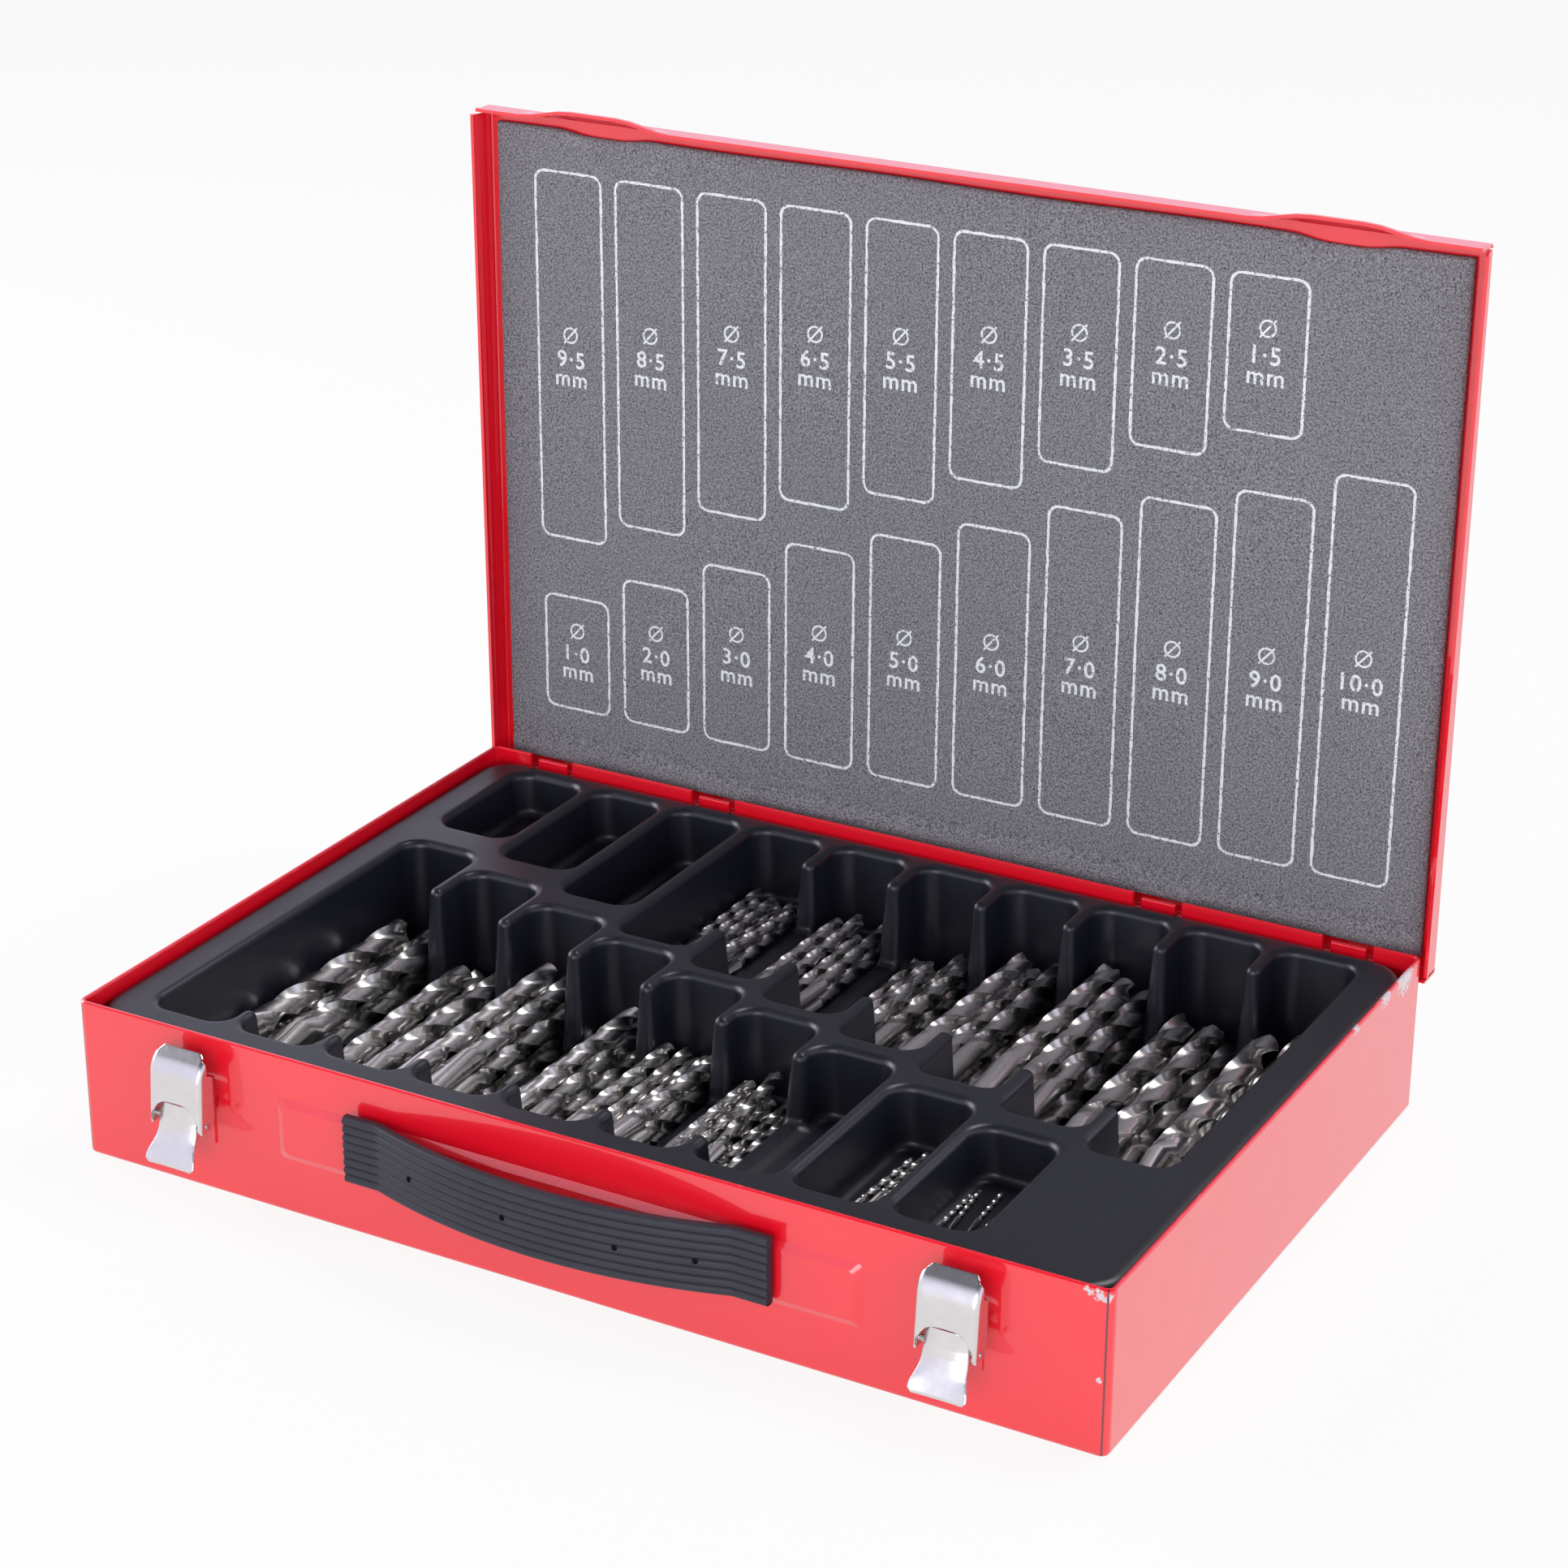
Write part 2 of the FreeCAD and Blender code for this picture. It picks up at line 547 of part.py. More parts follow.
def finger_gaps():
    """Lowered stretches of divider: middle in X, start and end in Y, height of the lowered top."""
    front = front_pockets()
    back = back_pockets()
    gaps = []
    for index in range(FINGER_FRONT_COUNT):
        (x0, start, _, floor0), (x1, _, end, floor1) = front[index], front[index + 1]
        setback = FINGER_FRONT_SETBACK - FINGER_FRONT_SETBACK_STEP * index
        gaps.append(((x0 + x1) / 2, start + FINGER_STUB, end - setback,
                     max(floor0, floor1) + FINGER_FLOOR_RISE))
    for index in range(FINGER_BACK_FIRST, len(back) - 1):
        (x0, start, end, floor0), (x1, _, _, floor1) = back[index], back[index + 1]
        gaps.append(((x0 + x1) / 2, start + FINGER_BACK_STUB, end - FINGER_BACK_SETBACK,
                     max(floor0, floor1) + FINGER_FLOOR_RISE))
    return gaps


def finger_block(x, y0, y1, z, grow):
    """The space of a finger gap: sloping ends and rounded foot, or the block that walls it."""
    half = FINGER_HALF_WIDTH
    top = TRAY_TOP + FINGER_TOP_LIFT if grow == 0 else TRAY_TOP - TRAY_WALL / 2
    low = z - grow
    ends = FINGER_DRAFT * (top - low) / (TRAY_TOP - low)
    face = polygon_face([V(x - half, y0 + FINGER_DRAFT - grow, low), V(x - half, y1 - FINGER_DRAFT + grow, low),
                         V(x - half, y1 - FINGER_DRAFT + ends + grow, top),
                         V(x - half, y0 + FINGER_DRAFT - ends - grow, top)])
    block = face.extrude(V(2 * half, 0, 0))
    if grow:
        return block
    return block.makeFillet(FINGER_FOOT_RADIUS, [e for e in level_edges(block, low)
                                                 if e.BoundBox.XLength > half])


def tray():
    """Moulded tray: rounded edge and skirt, nineteen drafted pockets, lowered finger gaps."""
    half_x = HALF_W - 2 * SHEET - TRAY_GAP
    half_y = HALF_D - 2 * SHEET - TRAY_GAP
    outer = rounded_prism(-half_x, half_x, -half_y, half_y, TRAY_CORNER, SHEET, TRAY_TOP)
    outer = outer.makeFillet(TRAY_EDGE_RADIUS, level_edges(outer, TRAY_TOP))
    in_x = half_x - TRAY_WALL
    in_y = half_y - TRAY_WALL
    inner = rounded_prism(-in_x, in_x, -in_y, in_y, TRAY_CORNER - TRAY_WALL, SHEET, TRAY_TOP - TRAY_WALL)
    inner = inner.makeChamfer(TRAY_EDGE_RADIUS - TRAY_WALL, level_edges(inner, TRAY_TOP - TRAY_WALL))
    skin = outer.cut(inner)
    all_pockets = front_pockets() + back_pockets()
    pans = [pan_solid(*pocket, TRAY_TOP - TRAY_WALL / 2) for pocket in all_pockets]
    saddles = [finger_block(*gap, TRAY_WALL) for gap in finger_gaps()]
    skin = skin.fuse(pans + saddles)
    hollows = [finger_block(*gap, 0) for gap in finger_gaps()]
    for x, y0, y1, floor in all_pockets:
        hollows.append(pocket_solid(x, y0, y1, floor, TRAY_TOP))
        rim = POCKET_RIM_WIDTH / 2 + RIM_FLARE
        hollows.append(tapered_block(x - rim, x + rim, y0 - RIM_FLARE, y1 + RIM_FLARE,
                                     TRAY_TOP - RIM_FLARE_DEPTH, TRAY_TOP, RIM_FLARE, RIM_FLARE,
                                     POCKET_CORNER))
    return solid_of(skin.cut(hollows).removeSplitter())


# ---------------------------------------------------------------- drill bits
def bit_section(radius, web, y, turn):
    """Many-cornered section; web pulls two opposite corners in to form the flutes."""
    points = []
    for corner in range(BIT_SIDES):
        angle = math.radians(360 / BIT_SIDES * corner + turn)
        reach = radius * (web if corner % (BIT_SIDES // 2) == 1 else 1.0)
        points.append(V(reach * math.cos(angle), y, reach * math.sin(angle)))
    return points


def bit_solid(diameter, overall, flute, turn):
    """A jobber drill along +Y, shank at the origin: shank, fluted body and point."""
    radius = diameter / 2
    shank_end = overall - flute
    point_start = overall - BIT_POINT * diameter
    shank = polygon_face(bit_section(radius, 1.0, 0, turn)).extrude(V(0, shank_end, 0))
    body = polygon_face(bit_section(radius, BIT_WEB, shank_end, turn)).extrude(V(0, point_start - shank_end, 0))
    corners = bit_section(radius, BIT_WEB, point_start, turn)
    section = Part.makePolygon(corners + corners[:1])
    point = Part.makeLoft([section, Part.Vertex(0, overall, 0)], True, True)
    return solid_of(shank.fuse([body, point]).removeSplitter())


def heap(diameter, count, floor):
    """Centres of bits dropped one by one into a pocket while they fit: (offset in X, height)."""
    step = diameter + BIT_CLEARANCE
    floor_width = POCKET_RIM_WIDTH - 2 * POCKET_SIDE_DRAFT
    half = floor_width / 2 - BIT_WALL_GAP - max(diameter / 2, BIT_EDGE_ROOM)
    slots = int(2 * half / step) + 1
    spread = 2 * half / (slots - 1)
    places = []
    while len(places) < count:
        for row in (slots, slots - 1):
            for slot in range(row):
                places.append(-spread * (row - 1) / 2 + spread * slot)
    resting = []
    for x in places[:count]:
        z = floor + diameter / 2 + BIT_CLEARANCE
        for other_x, other_z in resting:
            if abs(other_x - x) < step:
                z = max(z, other_z + math.sqrt(step ** 2 - (other_x - x) ** 2))
        if z + diameter / 2 < TRAY_TOP:
            resting.append((x, z))
    return resting


def bit_heap(diameter, overall, flute, count, pocket):
    """All the bits of one size, lying in their pocket."""
    pocket_x, y0, y1, floor = pocket
    end_room = POCKET_END_DRAFT + BIT_END_ROOM
    slack = y1 - y0 - 2 * end_room - overall
    bits = []
    for index, (x, z) in enumerate(heap(diameter, count, floor)):
        bit = bit_solid(diameter, overall, flute, BIT_TURN * (index % 2))
        y = y0 + end_room + slack * ((index + 1) * BIT_SLIDE % 1.0)
        bit.translate(V(pocket_x + x, y, z))
        bits.append(bit)
    return Part.makeCompound(bits)


# ---------------------------------------------------------------- latches, drawn at X = 0, pivot at Z = 0
def pin_axis_hole(pivot, radius, x0, x1):
    """A round bar across X at a pivot given as (outward, height)."""
    return rod(V(x0, -HALF_D - pivot[0], pivot[1]), AXIS_X, radius, x1 - x0)


def latch_plate():
    """Plate riveted to the wall, with two ears that carry the lever."""
    plate = box(-PLATE_HALF_WIDTH, PLATE_HALF_WIDTH, -HALF_D - LATCH_SHEET, -HALF_D, PLATE_BOTTOM, PLATE_TOP)
    ears = []
    for side in (-1, 1):
        x0 = min(side * EAR_OUTER_X, side * (EAR_OUTER_X - LATCH_SHEET))
        low = LEVER_PIVOT[1] - EAR_RADIUS
        high = LEVER_PIVOT[1] + EAR_RADIUS
        ears.append(box(x0, x0 + LATCH_SHEET, -HALF_D - LEVER_PIVOT[0], -HALF_D, low, high))
        ears.append(pin_axis_hole(LEVER_PIVOT, EAR_RADIUS, x0, x0 + LATCH_SHEET))
    bore = pin_axis_hole(LEVER_PIVOT, LATCH_PIN_RADIUS, -EAR_OUTER_X, EAR_OUTER_X)
    return solid_of(plate.fuse(ears).cut(latch_rivet_holes(0, 0) + [bore]))


def latch_lever():
    """Channel-shaped lever: waisted face, curled lip and two cheeks with both pin holes."""
    back = [(out - LATCH_SHEET, z) for out, z in reversed(LEVER_FACE)]
    strip = side_plate(list(LEVER_FACE) + back, -HOOK_HALF_WIDTH, HOOK_HALF_WIDTH)
    right = [V(x, 0, z) for x, z in LEVER_OUTLINE]
    left = [V(-x, 0, z) for x, z in reversed(LEVER_OUTLINE)]
    outline = polygon_face(right + left)
    outline.translate(V(0, -HALF_D - HALF_D, 0))
    face = strip.common(outline.extrude(V(0, HALF_D, 0)))
    cheek = [(LEVER_FACE[1][0] - LATCH_SHEET / 2, LEVER_PIVOT[1]),
             (LEVER_FACE[1][0] - LATCH_SHEET / 2, LEVER_FACE[1][1]), LEVER_CHEEK_TIP,
             (LEVER_CHEEK_TIP[0] - LATCH_SHEET, LEVER_CHEEK_TIP[1]),
             (HOOK_PIVOT[0] - LEVER_CHEEK_RADIUS, HOOK_PIVOT[1] - LEVER_CHEEK_RADIUS),
             (LEVER_PIVOT[0] - LEVER_CHEEK_RADIUS, LEVER_PIVOT[1]),
             (LEVER_PIVOT[0], LEVER_PIVOT[1] + LEVER_CHEEK_RADIUS),
             (HOOK_PIVOT[0], LEVER_PIVOT[1] + LEVER_CHEEK_RADIUS)]
    plates = []
    for side in (-1, 1):
        x0 = min(side * LEVER_OUTER_X, side * (LEVER_OUTER_X - LATCH_SHEET))
        plates.append(side_plate(cheek, x0, x0 + LATCH_SHEET))
        plates.append(pin_axis_hole(LEVER_PIVOT, LEVER_CHEEK_RADIUS, x0, x0 + LATCH_SHEET))
    taper = outline.extrude(V(0, HALF_D, 0))
    body = face.fuse([plate.common(taper) for plate in plates])
    bores = [pin_axis_hole(LEVER_PIVOT, LATCH_PIN_RADIUS + LATCH_PIN_CLEARANCE, -HALF_W, HALF_W),
             pin_axis_hole(HOOK_PIVOT, LATCH_PIN_RADIUS, -HALF_W, HALF_W)]
    return solid_of(body.cut(bores))


def latch_hook():
    """Hook shell: arched front face, sloping top plate and two cheeks down to the hook pin."""
    slope = HOOK_SHEET * math.sin(math.radians(HOOK_BEND_ANGLE))
    spine = [(HOOK_FACE_Y, HOOK_PIVOT[1] - LATCH_PIN_RADIUS), (HOOK_FACE_Y, HOOK_BEND_Z), HOOK_LIP,
             (HOOK_LIP[0] - slope, HOOK_LIP[1] - slope),
             (HOOK_FACE_Y - HOOK_SHEET, HOOK_BEND_Z - HOOK_SHEET * math.tan(math.radians(HOOK_BEND_ANGLE / 2))),
             (HOOK_FACE_Y - HOOK_SHEET, HOOK_PIVOT[1] - LATCH_PIN_RADIUS)]
    front = side_plate(spine, -HOOK_HALF_WIDTH, HOOK_HALF_WIDTH)
    corners = []
    for side in (-1, 1):
        tip = [V(side * HOOK_HALF_WIDTH, -HALF_D - HOOK_FACE_Y, HOOK_LIP[1] - HOOK_TOP_CHAMFER),
               V(side * (HOOK_HALF_WIDTH - HOOK_TOP_CHAMFER), -HALF_D - HOOK_FACE_Y, HOOK_LIP[1] + SHEET),
               V(side * HOOK_HALF_WIDTH, -HALF_D - HOOK_FACE_Y, HOOK_LIP[1] + SHEET)]
        corners.append(polygon_face(tip).extrude(V(0, HOOK_FACE_Y, 0)))
    arch = box(-ARCH_HALF_WIDTH, ARCH_HALF_WIDTH, -HALF_D - HOOK_FACE_Y - SHEET,
               -HALF_D - HOOK_FACE_Y + 2 * HOOK_SHEET, PLATE_BOTTOM, ARCH_SPRING_Z)
    crown = [V(-ARCH_HALF_WIDTH, 0, ARCH_SPRING_Z), V(0, 0, ARCH_TOP_Z), V(ARCH_HALF_WIDTH, 0, ARCH_SPRING_Z)]
    bow = Part.Wire([Part.Arc(*crown).toShape(), Part.LineSegment(crown[2], crown[0]).toShape()])
    crown_face = Part.Face(bow)
    crown_face.translate(V(0, -HALF_D - HOOK_FACE_Y - SHEET, 0))
    top_cut = crown_face.extrude(V(0, 2 * HOOK_SHEET + SHEET, 0))
    shell = front.cut(corners + [arch, top_cut])
    cheeks = []
    for side in (-1, 1):
        x0 = min(side * HOOK_HALF_WIDTH, side * (HOOK_HALF_WIDTH - HOOK_SHEET))
        cheeks.append(side_plate(HOOK_CHEEK, x0, x0 + HOOK_SHEET))
    shell = shell.fuse(cheeks)
    bore = pin_axis_hole(HOOK_PIVOT, LATCH_PIN_RADIUS + LATCH_PIN_CLEARANCE, -HALF_W, HALF_W)
    return solid_of(shell.cut(bore).removeSplitter())


def latch_pieces():
    """The six pieces of one latch, about X = 0 and the lever's pivot."""
    wall_out = -HALF_D - LATCH_SHEET
    rivets = [rivet(0, z, wall_out, -HALF_D + SHEET, LATCH_RIVET_HEAD) for z in LATCH_RIVET_Z]
    lever_reach = LEVER_OUTER_X + PIN_END
    hook_reach = HOOK_HALF_WIDTH + PIN_END
    return {"plate": latch_plate(), "lever": latch_lever(), "hook": latch_hook(),
            "lever_pin": pin_axis_hole(LEVER_PIVOT, LATCH_PIN_RADIUS, -lever_reach, lever_reach),
            "hook_pin": pin_axis_hole(HOOK_PIVOT, LATCH_PIN_RADIUS, -hook_reach, hook_reach),
            "rivets": Part.makeCompound(rivets)}


# ---------------------------------------------------------------- handle
def bow(x):
    """How far the outer face of the grip stands off the wall."""
    inside = min(abs(x), HANDLE_BOW_HALF)
    return HANDLE_CREST - BOW_RADIUS + math.sqrt(BOW_RADIUS ** 2 - inside ** 2)


def bowed_band(half_length, set_back, thickness, z0, z1):
    """A band that follows the bow, its face set back from the grip's outer face."""
    xs = [-HANDLE_BOW_HALF + 2 * HANDLE_BOW_HALF * step / (BOW_POINTS - 1) for step in range(BOW_POINTS)]
    xs = [-half_length] + xs + [half_length]
    outer = [V(x, -HALF_D - bow(x) + set_back, z0) for x in xs]
    inner = [V(x, -HALF_D - bow(x) + set_back + thickness, z0) for x in reversed(xs)]
    return polygon_face(outer + inner).extrude(V(0, 0, z1 - z0))


def handle_grip():
    """Ribbed rubber grip with square ends, four small holes and sockets over the rivet heads."""
    bottom = HANDLE_MID_Z - HANDLE_HALF_HEIGHT
    top = HANDLE_MID_Z + HANDLE_HALF_HEIGHT
    core = bowed_band(HANDLE_HALF_LENGTH, RIDGE_DEPTH, GRIP_THICKNESS - RIDGE_DEPTH, bottom, top)
    pitch = (top - bottom) / RIDGES
    ridges = []
    for index in range(RIDGES):
        z0 = bottom + pitch * index + RIDGE_GAP / 2
        ridges.append(bowed_band(HANDLE_HALF_LENGTH, 0, RIDGE_DEPTH, z0, z0 + pitch - RIDGE_GAP))
    front_y = -HALF_D - HANDLE_CREST
    holes = [rod(V(x, front_y, HANDLE_MID_Z), AXIS_Y, HANDLE_HOLE_RADIUS, HANDLE_CREST)
             for x in (-HANDLE_RIVET_X, -VENT_X, VENT_X, HANDLE_RIVET_X)]
    socket_y = -HALF_D - HANDLE_END_FACE + GRIP_THICKNESS - RIVET_HEAD_HEIGHT - PIN_END
    reach = HANDLE_RIVET_HEAD + PIN_END
    sockets = [stud(x, HANDLE_MID_Z, socket_y, -HALF_D, reach, reach)
               for x in (-HANDLE_RIVET_X, HANDLE_RIVET_X)]
    return solid_of(core.fuse(ridges).cut(holes + sockets))


def handle_strap():
    """Steel strap inside the back of the grip, flat ends riveted to the panel."""
    strap = bowed_band(HANDLE_RIVET_X + STRAP_END, GRIP_THICKNESS, STRAP_THICKNESS,
                       HANDLE_MID_Z - STRAP_HALF_HEIGHT, HANDLE_MID_Z + STRAP_HALF_HEIGHT)
    return solid_of(strap.cut(handle_rivet_holes()).removeSplitter())


def handle_rivets():
    """One rivet through each flat end of the strap."""
    wall_out = -HALF_D - HANDLE_END_FACE + GRIP_THICKNESS
    wall_in = -HALF_D - PANEL_HEIGHT + SHEET
    return Part.makeCompound([rivet(x, HANDLE_MID_Z, wall_out, wall_in, HANDLE_RIVET_HEAD)
                              for x in (-HANDLE_RIVET_X, HANDLE_RIVET_X)])


def bit_name(diameter):
    """Node name of one size of bit."""
    return "bits_" + str(diameter).replace(".", "_")


os.makedirs("parts", exist_ok=True)
save("base_shell", base_shell())
save("lid_shell", lid_shell())
save("lid_foam", lid_foam())
save("hinge_wire", hinge_wire())
save("tray", tray())
save("handle_strap", handle_strap())
save("handle_grip", handle_grip())
save("handle_rivets", handle_rivets())
for latch_side, latch_x in (("left", -KEEPER_X), ("right", KEEPER_X)):
    for piece_name, piece in latch_pieces().items():
        placed = piece.copy()
        placed.translate(V(latch_x, 0, LATCH_Z))
        save("latch_" + latch_side + "_" + piece_name, placed)
for bit_row, row_places in ((FRONT_ROW, front_pockets()), (BACK_ROW, back_pockets())):
    for (bit_diameter, bit_overall, bit_flute, bit_count, _, _), bit_pocket in zip(bit_row, row_places):
        if bit_count:
            save(bit_name(bit_diameter), bit_heap(bit_diameter, bit_overall, bit_flute, bit_count, bit_pocket))
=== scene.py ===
import logging
import math
from dataclasses import dataclass, field
from enum import Enum
from typing import Callable, Dict, List, Sequence, Tuple

import bmesh
import bpy
import numpy as np
from mathutils import Matrix, Vector


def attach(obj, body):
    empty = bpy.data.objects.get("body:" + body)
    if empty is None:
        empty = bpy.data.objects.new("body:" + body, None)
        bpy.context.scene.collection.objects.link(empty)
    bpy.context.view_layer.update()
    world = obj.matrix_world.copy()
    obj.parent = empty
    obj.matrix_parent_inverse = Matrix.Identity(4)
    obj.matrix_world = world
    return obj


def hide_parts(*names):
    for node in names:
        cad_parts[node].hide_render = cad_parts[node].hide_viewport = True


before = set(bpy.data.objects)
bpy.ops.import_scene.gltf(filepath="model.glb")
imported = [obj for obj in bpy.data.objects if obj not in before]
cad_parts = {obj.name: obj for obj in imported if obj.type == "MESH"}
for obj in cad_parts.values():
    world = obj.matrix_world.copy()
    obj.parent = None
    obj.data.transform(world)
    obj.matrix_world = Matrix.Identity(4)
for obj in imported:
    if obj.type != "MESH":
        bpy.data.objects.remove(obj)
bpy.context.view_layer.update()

LOG = logging.getLogger("drill_case")
MM = 0.001
Point = Tuple[float, float, float]
Colour = Tuple[float, float, float]
Curve = Tuple[Tuple[float, float], ...]
MeshParts = Tuple[np.ndarray, List[Tuple[int, ...]]]


# ---------------------------------------------------------------- shared measures of the case
@dataclass(frozen=True)
class CaseSizes:
    """Sizes in millimetres that several pieces share, and the drill sizes of the two rows."""

    depth: float = 248.0
    keeper_x: float = 138.0
    front_row: Tuple[float, ...] = (9.5, 8.5, 7.5, 6.5, 5.5, 4.5, 3.5, 2.5, 1.5)
    back_row: Tuple[float, ...] = (1.0, 2.0, 3.0, 4.0, 5.0, 6.0, 7.0, 8.0, 9.0, 10.0)

    @property
    def half_depth(self) -> float:
        """Half the depth of the box."""
        return self.depth / 2


SIZES = CaseSizes()


# ---------------------------------------------------------------- mesh helpers
def new_object(name: str, verts: np.ndarray, faces: Sequence, smooth: bool = True) -> bpy.types.Object:
    """Make an object from points in millimetres.

    Args:
        name: name of the piece.
        verts: points, one row each, in millimetres.
        faces: corner indices of each face.
        smooth: whether the faces are shaded smooth.

    Returns:
        The new object, linked to the scene.
    """
    mesh = bpy.data.meshes.new(name)
    mesh.from_pydata((np.asarray(verts, dtype=float) * MM).tolist(), [], [list(map(int, f)) for f in faces])
    mesh.validate()
    mesh.update()
    if smooth:
        mesh.polygons.foreach_set("use_smooth", [True] * len(mesh.polygons))
    made = bpy.data.objects.new(name, mesh)
    bpy.context.scene.collection.objects.link(made)
    return made


def face_outward(piece: bpy.types.Object) -> None:
    """Turn every face of a closed piece outward.

    Args:
        piece: closed piece whose mesh is changed.
    """
    shape = bmesh.new()
    shape.from_mesh(piece.data)
    bmesh.ops.recalc_face_normals(shape, faces=shape.faces)
    shape.to_mesh(piece.data)
    shape.free()


def grid_faces(rows: int, columns: int, offset: int = 0, closed: bool = False) -> List[Tuple[int, ...]]:
    """Quads between rows of points.

    Args:
        rows: how many rows of points there are.
        columns: how many points each row has.
        offset: index of the first point.
        closed: whether each row's last point joins its first.

    Returns:
        The quads as corner indices.
    """
    faces = []
    last = columns if closed else columns - 1
    for r in range(rows - 1):
        for c in range(last):
            n = (c + 1) % columns
            a = offset + r * columns
            b = a + columns
            faces.append((a + c, a + n, b + n, b + c))
    return faces


def place(piece: bpy.types.Object, body: str, material: bpy.types.Material,
          stands_for: Sequence[str] = ()) -> None:
    """Dress a new piece, make it ride on its body and hide the nodes that it stands for.

    Args:
        piece: the new piece.
        body: name of the body it moves with.
        material: its finish.
        stands_for: names of the nodes that it is shown in place of.
    """
    piece.data.materials.clear()
    piece.data.materials.append(material)
    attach(piece, body)
    if stands_for:
        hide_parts(*stands_for)


def ring_points(radius: float, around: int) -> List[Tuple[float, float]]:
    """Points evenly spaced round a circle.

    Args:
        radius: radius of the circle.
        around: how many points.

    Returns:
        The points, from angle 0 on.
    """
    angles = [2 * math.pi * k / around for k in range(around)]
    return [(radius * math.cos(a), radius * math.sin(a)) for a in angles]


def read_curve(at: np.ndarray, curve: Sequence[Sequence[float]], column: int = 1) -> np.ndarray:
    """Read a curve of straight runs.

    Args:
        at: where to read it.
        curve: rows whose first number is the place.
        column: which number of each row is read.

    Returns:
        The curve's value at each place.
    """
    return np.interp(at, [row[0] for row in curve], [row[column] for row in curve])


# ---------------------------------------------------------------- shader building
class NodeMaker:
    """Adds and links shader nodes in one tree."""

    def __init__(self, tree: bpy.types.NodeTree) -> None:
        """Keep the tree that nodes are added to."""
        self.tree = tree

    def add(self, kind: str, **settings: object) -> bpy.types.Node:
        """Add a node and set its plain properties.

        Args:
            kind: Blender's name for the node's type.
            settings: plain properties to set on it.

        Returns:
            The new node.
        """
        node = self.tree.nodes.new(kind)
        for key, value in settings.items():
            setattr(node, key, value)
        return node

    def join(self, output: bpy.types.NodeSocket, target: bpy.types.NodeSocket) -> None:
        """Link one socket to another.

        Args:
            output: socket that gives the value.
            target: socket that takes it.
        """
        self.tree.links.new(output, target)

    def value(self, operation: str, first: object, second: object = 0.0, clamp: bool = False) -> object:
        """Work out a value from two sockets or numbers.

        Args:
            operation: name of the math operation.
            first: first socket or number.
            second: second socket or number.
            clamp: whether the result is held between 0 and 1.

        Returns:
            The socket of the result.
        """
        node = self.add("ShaderNodeMath", operation=operation, use_clamp=clamp)
        for index, source in enumerate((first, second)):
            if isinstance(source, (int, float)):
                node.inputs[index].default_value = source
            else:
                self.join(source, node.inputs[index])
        return node.outputs[0]

    def ramp(self, source: object, stops: Sequence[Tuple[float, object]]) -> object:
        """Turn a value into a colour by a ramp.

        Args:
            source: socket of the value.
            stops: places on the ramp, each with a grey level or a colour.

        Returns:
            The socket of the colour.
        """
        node = self.add("ShaderNodeValToRGB")
        elements = node.color_ramp.elements
        while len(elements) < len(stops):
            elements.new(0.5)
        for element, (position, colour) in zip(elements, stops):
            element.position = position
            shade = colour if isinstance(colour, tuple) else (colour, colour, colour)
            element.color = (*shade, 1.0)
        self.join(source, node.inputs[0])
        return node.outputs[0]

    def mix(self, mask: object, low: object, high: object) -> object:
        """Mix two colours or colour sockets by a mask.

        Args:
            mask: socket of the mask.
            low: colour where the mask is 0.
            high: colour where the mask is 1.

        Returns:
            The socket of the mixed colour.
        """
        node = self.add("ShaderNodeMix", data_type="RGBA")
        self.join(mask, node.inputs[0])
        for index, source in ((6, low), (7, high)):
            if isinstance(source, tuple):
                node.inputs[index].default_value = (*source, 1.0)
            else:
                self.join(source, node.inputs[index])
        return node.outputs[2]


def object_coordinates(maker: NodeMaker) -> object:
    """The piece's own coordinates in metres.

    Args:
        maker: adds the node.

    Returns:
        The socket of the coordinates.
    """
    return maker.add("ShaderNodeTexCoord").outputs["Object"]


class Effect(Enum):
    """Shared surface effects, each built once as a node group."""

    SPECKLE = "surface_speckle"
    MOTTLE = "surface_mottle"
    CHIP = "surface_chip"


